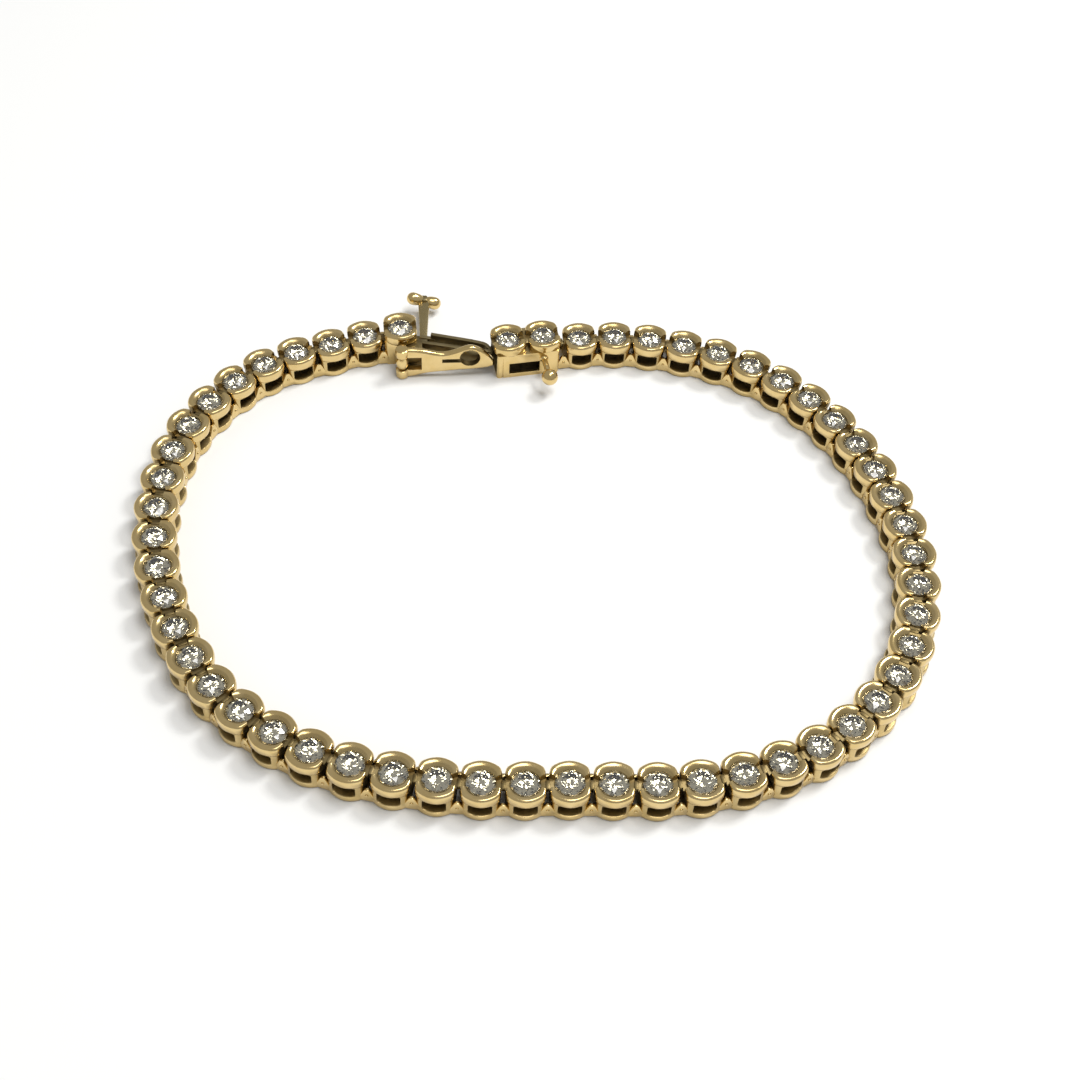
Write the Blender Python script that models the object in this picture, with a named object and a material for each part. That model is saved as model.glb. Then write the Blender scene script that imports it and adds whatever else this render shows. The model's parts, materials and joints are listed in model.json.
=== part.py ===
"""Tennis bracelet: a line of half-bezel links with round stones, lying open on a table.

The links stand on their rails and follow a hand-chosen route. A tongue-and-box clasp closes the
loop, and a keyhole safety latch hinges on the tongue's end link. Units are metres, +Z is up.
"""
import math

import bmesh
import bpy
from mathutils import Matrix, Vector

MM = 0.001

# Link
PITCH = 3.25 * MM             # centre to centre of neighbouring stones
LINK_GAP = 0.24 * MM          # between two heads
LINK_WIDTH = 3.70 * MM        # across the chain at the widest point
CORNER_WIDTH = 2.60 * MM      # across the chain at the ends of a head
CORNER_SET_BACK = 0.09 * MM   # how far a head's corners lie behind its end
CHANNEL_WIDTH = 1.20 * MM     # between the arms of the two half bezels
CHANNEL_DEPTH = 0.55 * MM
LINK_HEIGHT = 2.70 * MM
LIP_DROP = 0.25 * MM          # from the lip's crest down to its outer edge
BAND_HEIGHT = 0.95 * MM       # from the lip's crest down to the window
RAIL_HEIGHT = 0.58 * MM
WINDOW_LENGTH = 1.90 * MM
RAIL_INSET = 0.12 * MM        # how far the rail's underside draws in
WAIST_INSET = 0.10 * MM       # how far the window's edges lie inside the head's outline

# Stone
STONE_DIAMETER = 2.12 * MM    # what shows inside the lip
TABLE_SHARE = 0.56            # table width over stone width
GIRDLE_DEPTH = 0.30 * MM      # below the lip's crest
CREST_SHARE = 0.28            # of the way from a head's edge to the girdle, where the lip is highest
SHOULDER_SHARE = 0.70         # of the same way, where the lip turns down to the stone
SHOULDER_DROP = 0.09 * MM
CHANNEL_RISE = 0.10           # of the channel's depth, at each step from the head's end to the shoulder
TABLE_DEPTH = 0.03 * MM

# Clasp box
CLASP_HEIGHT = 3.50 * MM
CLASP_BAND_HEIGHT = 0.78 * MM  # from the lip's crest down to the box or the end link
BOX_LENGTH = 5.80 * MM
BOX_WIDTH = 3.56 * MM
BOX_WALL = 0.34 * MM
ROOT_SHARE = 0.70             # of a wall, how deep a joined piece reaches into it
BOX_FLOOR = 0.45 * MM
BOX_TURN = 14.5               # degrees in plan
BOX_SLACK = 0.26 * MM         # more than a link's gap between the box and the chain
SIDE_WINDOW_LENGTH = 2.85 * MM
SIDE_WINDOW_HEIGHT = 1.20 * MM
WINDOW_OFFSET = 0.35 * MM     # of the side window from the box's middle, towards the mouth
PEG_BALL_DIAMETER = 1.50 * MM
PEG_STEM_DIAMETER = 0.52 * MM
PEG_STEM_LENGTH = 1.68 * MM   # from the box's wall to the ball
PEG_OFFSET = 1.45 * MM        # of the peg from the box's middle, away from the mouth
PEG_HEIGHT = 1.90 * MM
PEG_RINGS = 5                 # of points on the ball

# Tongue
TONGUE_TURN = 9.5             # degrees in plan, of the end link
END_LINK_LENGTH = 2.95 * MM
END_LINK_WIDTH = 2.80 * MM
LEAF_THICKNESS = 0.34 * MM
LEAF_CLEARANCE = 0.15 * MM    # around the spring inside the box
LEAF_SHOULDER_DROP = 0.45 * MM
OVERLAP = 0.10                # share by which the spring's low end laps over and outgrows the leaf
SEAT_SHARE = 0.28             # where the spring's seat ends, as a share of the reach to the tip
SEAT_DROP = 0.54 * MM         # of the seat below the spring's upper edge
TIP_CLEARANCE = 0.16 * MM     # between the open clasp's tongue or latch and the box
TONGUE_TIP_SHIFT = 0.20 * MM  # of the tongue's tip from the box's middle, to the wearer's side
LATCH_TIP_SHIFT = 0.92 * MM   # of the latch's tip, the same way

# T-shaped trigger
TRIGGER_LENGTH = 5.40 * MM
TRIGGER_TURN = 95.2           # degrees in plan
TRIGGER_FOOT_WIDTH = 0.65 * MM
TRIGGER_HEAD_WIDTH = 1.10 * MM
TRIGGER_THICKNESS = 0.50 * MM
TRIGGER_BAR_LENGTH = 3.30 * MM
TRIGGER_LOBE_DIAMETER = 1.20 * MM
TRIGGER_WAIST_DIAMETER = 0.62 * MM
TRIGGER_ROLL = 16.0           # degrees, which lifts the bar's left lobe
# The bar's end as shares of the lobe's radius: radius, and distance from the end
TRIGGER_LOBE = [(0.00, 0.00), (0.65, 0.25), (1.00, 1.00)]
WAIST_SHARE = 0.30            # half the bar's waist over the lobe's radius

# Safety latch and its hinge
LATCH_THICKNESS = 0.66 * MM
LATCH_HEIGHT = 3.25 * MM
LATCH_LIFT = 0.05 * MM        # of the lower eye above the table
EYE_HEIGHT = 0.88 * MM
EYE_DIAMETER = 1.20 * MM
EYE_CAP = 0.26 * MM           # of metal that closes an eye over the pin's end
PIN_DIAMETER = 0.44 * MM
HINGE_CLEARANCE = 0.12 * MM
HINGE_REACH = 1.59 * MM       # from the end link's wall to the hinge's axis
HINGE_BACK = 0.02 * MM        # of the hinge behind the end link's centre, along the tongue
KNUCKLE_DIAMETER = 1.15 * MM
KNUCKLE_RIM_SHARE = 0.80      # diameter at the knuckle's ends over the diameter at its middle
KEYHOLE_DIAMETER = 1.85 * MM
SLIT_WIDTH = 0.36 * MM
SLIT_LENGTH = 1.60 * MM
FORK_DEPTH = 1.75 * MM        # of the slot between the latch's eyes

# The chain's route in plan, chosen by hand and walked at equal steps. It starts beside the tongue.
ROUTE = [
    (-16.8, 22.5), (-25.4, 17.8), (-30.6, 9.6), (-31.3, -0.3), (-28.6, -9.7), (-23.4, -17.5),
    (-15.2, -22.6), (-5.6, -24.3), (4.2, -23.8), (14.0, -22.8), (22.7, -18.9), (29.1, -11.6),
    (31.4, -2.3), (30.0, 7.0), (25.4, 16.1), (18.0, 22.3), (8.9, 24.6), (2.95, 24.15),
]
ROUTE = [(x * MM, y * MM) for x, y in ROUTE]
LINKS_LEFT = 26
LINKS_RIGHT = 25

# Latch profile from the hinge to the tip: share of its length, underside and top as shares of its height
LATCH_PROFILE = [
    ("eye", 0.00, 0.00, 1.00),
    ("eye_end", 0.11, 0.01, 1.00),
    ("shoulder", 0.22, 0.09, 0.95),
    ("waist", 0.38, 0.15, 0.84),
    ("neck", 0.48, 0.17, 0.83),
    ("flare", 0.60, 0.20, 0.93),
    ("rise", 0.68, 0.21, 1.02),
    ("hump", 0.76, 0.22, 1.05),
    ("cheek", 0.86, 0.25, 0.92),
    ("tip_top", 0.95, 0.29, 0.70),
    ("tip", 1.00, 0.37, 0.50),
]
KEYHOLE_SHARE = 0.735         # of the latch's length, from the hinge to the hole's centre
KEYHOLE_RISE = 0.67           # of the latch's height

# Fold of the spring, from the end link to its free end: shares of the reach to the tip and of the end link's
# width
TONGUE_FOLD = [
    ("root", 0.20, -0.15),
    ("run", 0.84, -0.10),
    ("turn", 0.955, -0.06),
    ("tip", 0.978, 0.02),
    ("beak", 0.945, 0.12),
    ("knee", 0.83, 0.27),
    ("shoulder", 0.31, 0.30),
    ("free_end", 0.19, 0.28),
]

SIDES = 16
# A link is a stack of rings: underside, rail top, window top, lip edge, crest, shoulder and girdle.
# Their points run round from the front end. The columns are the faces between a point and the next.
WINDOW_COLUMNS = (2, 3, 4, 10, 11, 12)
WINDOW_EDGE = (2, 3, 4, 5, 10, 11, 12, 13)
# Columns left open in each band where a lug joins
FRONT_OPEN = {0: (14, 15, 0), 1: (15,)}
BACK_OPEN = {0: (6, 7, 8), 1: (7,)}


def make_material(name, colour, roughness, metallic):
    """A plain finish."""
    material = bpy.data.materials.new(name)
    material.use_nodes = True
    shader = material.node_tree.nodes["Principled BSDF"]
    shader.inputs["Base Color"].default_value = (*colour, 1.0)
    shader.inputs["Roughness"].default_value = roughness
    shader.inputs["Metallic"].default_value = metallic
    material.diffuse_color = (*colour, 1.0)
    return material


def make_object(name, mesh_data, materials, parent, location=(0, 0, 0)):
    """Closes the bmesh into a named object with smooth faces and sharp creases."""
    bmesh.ops.recalc_face_normals(mesh_data, faces=mesh_data.faces)
    mesh = bpy.data.meshes.new(name)
    mesh_data.to_mesh(mesh)
    mesh_data.free()
    for material in materials:
        mesh.materials.append(material)
    mesh.shade_smooth()
    mesh.set_sharp_from_angle(angle=math.radians(32))
    item = bpy.data.objects.new(name, mesh)
    item.location = location
    item.parent = parent
    bpy.context.scene.collection.objects.link(item)
    return item


def boolean(target, tool, operation):
    """Joins or cuts with a tool that is hidden afterwards."""
    modifier = target.modifiers.new(tool.name, "BOOLEAN")
    modifier.operation = operation
    modifier.solver = "EXACT"
    modifier.object = tool
    tool.hide_render = True
    tool.display_type = "WIRE"
    return target


def place(x, y, degrees):
    """The frame of a piece that stands on the table, turned in plan."""
    return Matrix.Translation((x, y, 0)) @ Matrix.Rotation(math.radians(degrees), 4, "Z")


def outline(inset):
    """A head's plan: flat ends, and two bowed sides between its corners."""
    end_x = (PITCH - LINK_GAP) / 2 - inset
    corner_x = end_x - CORNER_SET_BACK
    corner_y = CORNER_WIDTH / 2 - inset
    half_width = LINK_WIDTH / 2 - inset
    quarter = [(end_x, CHANNEL_WIDTH / 2), (corner_x, corner_y)]
    for x in (WINDOW_LENGTH / 2, WINDOW_LENGTH / 6):
        quarter.append((x, half_width - (half_width - corner_y) * (x / corner_x) ** 2))
    left = [(-x, y) for x, y in reversed(quarter)]
    upper = quarter + left
    return upper + [(x, -y) for x, y in reversed(upper)]


def circle(radius, sides, start):
    """Points of a circle, the first at the start angle in turns."""
    turns = [start + k / sides for k in range(sides)]
    return [(radius * math.cos(math.tau * t), radius * math.sin(math.tau * t)) for t in turns]


def head_rings(top, band_height):
    """The rings of a head from its band's lower edge to the girdle, and the stone's table."""
    edge = outline(0.0)
    girdle = circle(STONE_DIAMETER / 2, SIDES, 0.5 / SIDES)
    channel = {0, 7, 8, 15}
    rings = [[Vector((x, y, top - band_height)) for x, y in outline(WAIST_INSET)]]
    rings.append([Vector((x, y, top - (CHANNEL_DEPTH if k in channel else LIP_DROP)))
                  for k, (x, y) in enumerate(edge)])
    for number, (share, drop) in enumerate(((CREST_SHARE, 0.0), (SHOULDER_SHARE, SHOULDER_DROP))):
        plan = [Vector(outer).lerp(Vector(inner), share) for outer, inner in zip(edge, girdle)]
        channel_drop = CHANNEL_DEPTH * (1 - CHANNEL_RISE * (number + 1))
        rings.append([Vector((x, y, top - (channel_drop if k in channel else drop)))
                      for k, (x, y) in enumerate(plan)])
    rings.append([Vector((x, y, top - GIRDLE_DEPTH)) for x, y in girdle])
    table = circle(STONE_DIAMETER / 2 * TABLE_SHARE, SIDES // 2, 1.0 / SIDES)
    return rings, [Vector((x, y, top - TABLE_DEPTH)) for x, y in table]


def add_stone(bm, girdle, table):
    """Sixteen crown facets and a table, in the second material."""
    facets = [bm.faces.new(table)]
    count = len(table)
    for j in range(count):
        after = (j + 1) % count
        facets.append(bm.faces.new((table[j], girdle[2 * j], girdle[2 * j + 1])))
        kite = (table[j], girdle[2 * j + 1], girdle[(2 * j + 2) % SIDES], table[after])
        facets.append(bm.faces.new(kite))
    for facet in facets:
        facet.material_index = 1


def add_link(bm, frame, joined_back, joined_front):
    """One link with its stone, open where a lug joins it to a neighbour. Returns its rings."""
    upper, table = head_rings(LINK_HEIGHT, BAND_HEIGHT)
    rings = [[Vector((x, y, 0.0)) for x, y in outline(RAIL_INSET)]]
    rings.append([Vector((x, y, RAIL_HEIGHT)) for x, y in outline(WAIST_INSET)])
    rings += upper
    rings = [[bm.verts.new(frame @ point) for point in ring] for ring in rings]
    for band in range(len(rings) - 1):
        for k in range(SIDES):
            if band == 1 and k in WINDOW_COLUMNS:
                continue
            if joined_front and k in FRONT_OPEN.get(band, ()):
                continue
            if joined_back and k in BACK_OPEN.get(band, ()):
                continue
            after = (k + 1) % SIDES
            low, high = rings[band], rings[band + 1]
            bm.faces.new((low[k], low[after], high[after], high[k]))
    bm.faces.new(rings[0])
    rail, ceiling = rings[1], rings[2]
    for ring in (rail, ceiling):
        bm.faces.new([ring[k] for k in WINDOW_EDGE])
    for a, b in ((2, 13), (5, 10)):
        bm.faces.new((rail[a], ceiling[a], ceiling[b], rail[b]))
    add_stone(bm, rings[-1], [bm.verts.new(frame @ point) for point in table])
    return rings


def make_chain(name, frames, materials, parent):
    """A run of links fused by their lugs, from rims on a link's front and on the next link's back."""
    front_rim = [(0, 14), (0, 15), (0, 0), (0, 1), (1, 1), (1, 0), (2, 0), (2, 15), (1, 15), (1, 14)]
    back_rim = [(0, 9), (0, 8), (0, 7), (0, 6), (1, 6), (1, 7), (2, 7), (2, 8), (1, 8), (1, 9)]
    bm = bmesh.new()
    last = None
    for number, frame in enumerate(frames):
        rings = add_link(bm, frame, number > 0, number < len(frames) - 1)
        if last:
            front = [last[ring][k] for ring, k in front_rim]
            back = [rings[ring][k] for ring, k in back_rim]
            for k in range(len(front)):
                after = (k + 1) % len(front)
                bm.faces.new((front[k], front[after], back[after], back[k]))
        last = rings
    return make_object(name, bm, materials, parent)


def make_head(name, frame, materials, parent):
    """A half-bezel head with its stone for the clasp's top, sunk a little into what carries it."""
    upper, table = head_rings(CLASP_HEIGHT, CLASP_BAND_HEIGHT)
    bm = bmesh.new()
    sunk = [point - Vector((0, 0, BOX_WALL / 2)) for point in upper[0]]
    rings = [[bm.verts.new(frame @ point) for point in ring] for ring in [sunk] + upper]
    for low, high in zip(rings, rings[1:]):
        for k in range(SIDES):
            after = (k + 1) % SIDES
            bm.faces.new((low[k], low[after], high[after], high[k]))
    bm.faces.new(rings[0])
    add_stone(bm, rings[-1], [bm.verts.new(frame @ point) for point in table])
    return make_object(name, bm, materials, parent)


def make_prism(name, frame, points, low, high, materials, parent, location=(0, 0, 0)):
    """A plan outline raised between two heights."""
    bm = bmesh.new()
    rings = [[bm.verts.new(frame @ Vector((x, y, z))) for x, y in points] for z in (low, high)]
    for k in range(len(points)):
        after = (k + 1) % len(points)
        bm.faces.new((rings[0][k], rings[0][after], rings[1][after], rings[1][k]))
    for ring in rings:
        bm.faces.new(ring)
    return make_object(name, bm, materials, parent, location)


def rectangle(x_low, x_high, y_low, y_high, chamfer=0.0):
    """A rectangle with its corners cut."""
    if not chamfer:
        return [(x_low, y_low), (x_high, y_low), (x_high, y_high), (x_low, y_high)]
    return [
        (x_low + chamfer, y_low), (x_high - chamfer, y_low), (x_high, y_low + chamfer),
        (x_high, y_high - chamfer), (x_high - chamfer, y_high), (x_low + chamfer, y_high),
        (x_low, y_high - chamfer), (x_low, y_low + chamfer),
    ]


def make_turned(name, frame, profile, sides, materials, parent, location=(0, 0, 0)):
    """A profile of (radius, height) turned about the frame's Z, closed by points at both ends."""
    bm = bmesh.new()
    rings = []
    for radius, height in profile[1:-1]:
        rings.append([bm.verts.new(frame @ Vector((x, y, height))) for x, y in circle(radius, sides, 0.0)])
    ends = [bm.verts.new(frame @ Vector((0, 0, profile[k][1]))) for k in (0, -1)]
    for low, high in zip(rings, rings[1:]):
        for k in range(sides):
            after = (k + 1) % sides
            bm.faces.new((low[k], low[after], high[after], high[k]))
    for ring, end in zip((rings[0], rings[-1]), ends):
        for k in range(sides):
            bm.faces.new((ring[k], ring[(k + 1) % sides], end))
    return make_object(name, bm, materials, parent, location)


def catmull_rom(points, samples):
    """A smooth curve through the points."""
    padded = [points[0] * 2 - points[1]] + points + [points[-1] * 2 - points[-2]]
    curve = []
    for a, b, c, d in zip(padded, padded[1:], padded[2:], padded[3:]):
        for step in range(samples):
            t = step / samples
            curve.append(0.5 * (2 * b + (c - a) * t + (2 * a - 5 * b + 4 * c - d) * t * t
                                + (3 * b - a - 3 * c + d) * t ** 3))
    return curve + [points[-1]]


def walk(curve, step, count):
    """Points along the curve whose straight distance to the last is one step, up to count."""
    places = [curve[0]]
    for start, end in zip(curve, curve[1:]):
        while len(places) < count and (end - places[-1]).length >= step:
            low, high = 0.0, 1.0
            for _ in range(40):
                middle = (low + high) / 2
                if (start.lerp(end, middle) - places[-1]).length < step:
                    low = middle
                else:
                    high = middle
            places.append(start.lerp(end, high))
    return places


def link_places(count):
    """The links' centres, on the route scaled to hold them all."""
    route = catmull_rom([Vector(point) for point in ROUTE], 40)
    length = sum((b - a).length for a, b in zip(route, route[1:]))
    curve = [point * PITCH * (count - 1) / length for point in route]
    beyond = curve[-1] + (curve[-1] - curve[-2]).normalized() * PITCH
    return walk(curve + [beyond], PITCH, count)


def link_frames(places, before, after):
    """A frame for each link, turned along the line between its neighbours."""
    line = [before] + places + [after]
    frames = []
    for back, here, front in zip(line, line[1:], line[2:]):
        turn = math.degrees(math.atan2(front.y - back.y, front.x - back.x))
        frames.append(place(here.x, here.y, turn))
    return frames


def make_clasp_box(frame, materials, parent):
    """The box with its two stones, open at the mouth and in both side walls, and its ball peg."""
    gold = materials[:1]
    half = BOX_LENGTH / 2
    side = BOX_WIDTH / 2
    body_top = CLASP_HEIGHT - CLASP_BAND_HEIGHT
    box = make_prism("clasp_box", frame, rectangle(-half, half, -side, side, BOX_WALL / 2),
                     0.0, body_top, gold, parent)
    box.data.materials.append(materials[1])
    cavity = rectangle(-half - BOX_WALL, half - BOX_WALL, -side + BOX_WALL, side - BOX_WALL)
    hollow = make_prism("cut_cavity", frame, cavity, BOX_FLOOR, body_top - BOX_WALL, gold, parent)
    boolean(box, hollow, "DIFFERENCE")
    window = rectangle(-SIDE_WINDOW_LENGTH / 2 - WINDOW_OFFSET, SIDE_WINDOW_LENGTH / 2 - WINDOW_OFFSET,
                       -BOX_WIDTH, BOX_WIDTH)
    lintel = BOX_FLOOR + SIDE_WINDOW_HEIGHT
    boolean(box, make_prism("cut_window", frame, window, BOX_FLOOR, lintel, gold, parent), "DIFFERENCE")
    for number, x in enumerate((-PITCH / 2, PITCH / 2)):
        head = make_head(f"box_head_{number + 1}", frame @ Matrix.Translation((x, 0, 0)), materials, parent)
        boolean(box, head, "UNION")
    ball = PEG_BALL_DIAMETER / 2
    stem = PEG_STEM_DIAMETER / 2
    centre = PEG_STEM_LENGTH + ball
    profile = [(0.0, -BOX_WALL * ROOT_SHARE), (stem, -BOX_WALL * ROOT_SHARE), (stem, PEG_STEM_LENGTH)]
    at_stem = math.asin(PEG_STEM_DIAMETER / PEG_BALL_DIAMETER)
    for k in range(1, PEG_RINGS + 1):
        angle = at_stem + (math.pi - at_stem) * k / (PEG_RINGS + 1)
        profile.append((ball * math.sin(angle), centre - ball * math.cos(angle)))
    profile.append((0.0, centre + ball))
    outward = Matrix.Translation((PEG_OFFSET, -side, PEG_HEIGHT)) @ Matrix.Rotation(math.radians(90), 4, "X")
    boolean(box, make_turned("peg", frame @ outward, profile, 12, gold, parent), "UNION")
    return box


def strip_outline(path, thickness):
    """Both edges of a folded strip of even thickness."""
    left, right = [], []
    for k, point in enumerate(path):
        before = path[max(k - 1, 0)]
        after = path[min(k + 1, len(path) - 1)]
        along = (after - before).normalized()
        normal = Vector((-along.y, along.x)) * thickness / 2
        left.append(point + normal)
        right.append(point - normal)
    return [(p.x, p.y) for p in left + right[::-1]]


def make_tongue(frame, spring_frame, reach, hinge, materials, parent):
    """End link with its stone, the folded spring, its trigger, and the latch's knuckle and pin."""
    gold = materials[:1]
    half = END_LINK_LENGTH / 2
    side = END_LINK_WIDTH / 2
    body_top = CLASP_HEIGHT - CLASP_BAND_HEIGHT
    tongue = make_prism("clasp_tongue", frame, rectangle(-half, half, -side, side, LINK_GAP),
                        0.0, body_top, gold, parent)
    tongue.data.materials.append(materials[1])
    boolean(tongue, make_head("end_link_head", frame, materials, parent), "UNION")

    spring_low = BOX_FLOOR + LEAF_CLEARANCE
    spring_high = body_top - BOX_WALL - LEAF_CLEARANCE
    seat_side = side - BOX_WALL - LEAF_CLEARANCE
    seat = rectangle(half - BOX_WALL, SEAT_SHARE * reach, -seat_side, seat_side)
    boolean(tongue, make_prism("spring_seat", spring_frame, seat, spring_low - LEAF_CLEARANCE / 3,
                               spring_high - SEAT_DROP, gold, parent), "UNION")

    path = [Vector((along * reach, across * END_LINK_WIDTH)) for _, along, across in TONGUE_FOLD]
    full = strip_outline(path[:-1], LEAF_THICKNESS)
    boolean(tongue, make_prism("spring", spring_frame, full, spring_low, spring_high, gold, parent), "UNION")
    low_end = strip_outline([path[-2].lerp(path[-3], OVERLAP), path[-1]], LEAF_THICKNESS * (1 + OVERLAP))
    boolean(tongue, make_prism("spring_end", spring_frame, low_end, spring_low - LEAF_CLEARANCE / 2,
                               spring_high - LEAF_SHOULDER_DROP, gold, parent), "UNION")

    foot = spring_frame @ Vector((path[-1].x + LEAF_THICKNESS, path[-1].y, (spring_low + spring_high) / 2))
    stem_frame = Matrix.Translation(foot) @ Matrix.Rotation(math.radians(TRIGGER_TURN), 4, "Z")
    foot_side = TRIGGER_FOOT_WIDTH / 2
    head_side = TRIGGER_HEAD_WIDTH / 2
    stem = [(0.0, -foot_side), (TRIGGER_LENGTH + TRIGGER_THICKNESS / 2, -head_side)]
    stem += [(x, -y) for x, y in reversed(stem)]
    thin = TRIGGER_THICKNESS / 2
    boolean(tongue, make_prism("trigger_stem", stem_frame, stem, -thin, thin, gold, parent), "UNION")
    lobe = TRIGGER_LOBE_DIAMETER / 2
    waist = TRIGGER_WAIST_DIAMETER / 2
    end = TRIGGER_BAR_LENGTH / 2
    lower = [(lobe * radius, lobe * inward - end) for radius, inward in TRIGGER_LOBE]
    lower.append((waist, -lobe * WAIST_SHARE))
    bar = lower + [(radius, -height) for radius, height in reversed(lower)]
    bar_frame = (stem_frame @ Matrix.Translation((TRIGGER_LENGTH, 0, 0))
                 @ Matrix.Rotation(math.radians(90 + TRIGGER_ROLL), 4, "X"))
    boolean(tongue, make_turned("trigger_bar", bar_frame, bar, 10, gold, parent), "UNION")

    fork_low = LATCH_LIFT + EYE_HEIGHT
    fork_high = LATCH_LIFT + LATCH_HEIGHT - EYE_HEIGHT
    knuckle_low = fork_low + HINGE_CLEARANCE
    knuckle_high = fork_high - HINGE_CLEARANCE
    pin = PIN_DIAMETER / 2
    pin_depth = EYE_HEIGHT - EYE_CAP - HINGE_CLEARANCE
    knuckle = KNUCKLE_DIAMETER / 2
    rim = knuckle * KNUCKLE_RIM_SHARE
    profile = [(0.0, fork_low - pin_depth), (pin, fork_low - pin_depth), (pin, knuckle_low),
               (rim, knuckle_low), (knuckle, (knuckle_low + knuckle_high) / 2),
               (rim, knuckle_high), (pin, knuckle_high), (pin, fork_high + pin_depth),
               (0.0, fork_high + pin_depth)]
    at_hinge = frame @ Matrix.Translation((hinge.x, hinge.y, 0))
    boolean(tongue, make_turned("knuckle", at_hinge, profile, 12, gold, parent), "UNION")
    arm_side = knuckle * KNUCKLE_RIM_SHARE - pin / 2
    arm = rectangle(hinge.x - arm_side, hinge.x + arm_side, hinge.y + pin, -side + BOX_WALL)
    boolean(tongue, make_prism("hinge_arm", frame, arm, knuckle_low + HINGE_CLEARANCE,
                               knuckle_high - HINGE_CLEARANCE, gold, parent), "UNION")
    return tongue


def make_latch(length, turn, location, materials, parent):
    """A plate on edge with a keyhole, forked at its hinge, where two eyes hold the pin."""
    low = [(length * along, LATCH_HEIGHT * under + LATCH_LIFT) for _, along, under, _ in LATCH_PROFILE]
    high = [(length * along, LATCH_HEIGHT * over + LATCH_LIFT) for _, along, _, over in LATCH_PROFILE]
    fork_low = LATCH_LIFT + EYE_HEIGHT
    fork_high = LATCH_LIFT + LATCH_HEIGHT - EYE_HEIGHT
    slot = [(0.0, fork_high), (FORK_DEPTH, fork_high), (FORK_DEPTH, fork_low), (0.0, fork_low)]
    rim = low + high[::-1] + slot
    centre = Vector((length * KEYHOLE_SHARE, LATCH_LIFT + LATCH_HEIGHT * KEYHOLE_RISE))
    radius = KEYHOLE_DIAMETER / 2
    open_angle = math.asin(SLIT_WIDTH / KEYHOLE_DIAMETER)
    arc = [math.pi + open_angle + (math.tau - 2 * open_angle) * k / 13 for k in range(14)]
    keyhole = [(centre.x + radius * math.cos(a), centre.y + radius * math.sin(a)) for a in arc]
    slit_end = centre.x - radius - SLIT_LENGTH
    keyhole += [(slit_end, centre.y + SLIT_WIDTH / 2), (slit_end, centre.y - SLIT_WIDTH / 2)]

    bm = bmesh.new()
    edges = []
    for loop in (rim, keyhole):
        points = [bm.verts.new((x, -LATCH_THICKNESS / 2, z)) for x, z in loop]
        edges += [bm.edges.new((points[k], points[(k + 1) % len(points)])) for k in range(len(points))]
    face = bmesh.ops.triangle_fill(bm, edges=edges, use_beauty=True)
    faces = [item for item in face["geom"] if isinstance(item, bmesh.types.BMFace)]
    grown = bmesh.ops.extrude_face_region(bm, geom=faces)
    moved = [item for item in grown["geom"] if isinstance(item, bmesh.types.BMVert)]
    bmesh.ops.translate(bm, verts=moved, vec=(0, LATCH_THICKNESS, 0))
    bmesh.ops.transform(bm, matrix=Matrix.Rotation(math.radians(turn), 4, "Z"), verts=bm.verts)
    latch = make_object("safety_latch", bm, materials[:1], parent, location)
    eye = EYE_DIAMETER / 2
    for number, base in enumerate((LATCH_LIFT, fork_high)):
        profile = [(0.0, base), (eye, base), (eye, base + EYE_HEIGHT), (0.0, base + EYE_HEIGHT)]
        ring = make_turned(f"eye_{number + 1}", Matrix(), profile, 12, materials[:1], parent, location)
        boolean(latch, ring, "UNION")
    bore = PIN_DIAMETER / 2 + HINGE_CLEARANCE
    floor = LATCH_LIFT + EYE_CAP
    roof = LATCH_LIFT + LATCH_HEIGHT - EYE_CAP
    profile = [(0.0, floor), (bore, floor), (bore, roof), (0.0, roof)]
    hole = make_turned("cut_pin_hole", Matrix(), profile, 12, materials[:1], parent, location)
    boolean(latch, hole, "DIFFERENCE")
    return latch


def clear_scene():
    for item in list(bpy.data.objects):
        bpy.data.objects.remove(item, do_unlink=True)


def centre_on_floor(root, pieces):
    """Moves the whole so that its box is centred on the origin."""
    bpy.context.view_layer.update()
    points = [piece.matrix_world @ vertex.co for piece in pieces for vertex in piece.data.vertices]
    root.location = (
        -(min(p.x for p in points) + max(p.x for p in points)) / 2,
        -(min(p.y for p in points) + max(p.y for p in points)) / 2,
        0.0,
    )
    bpy.context.view_layer.update()


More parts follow.
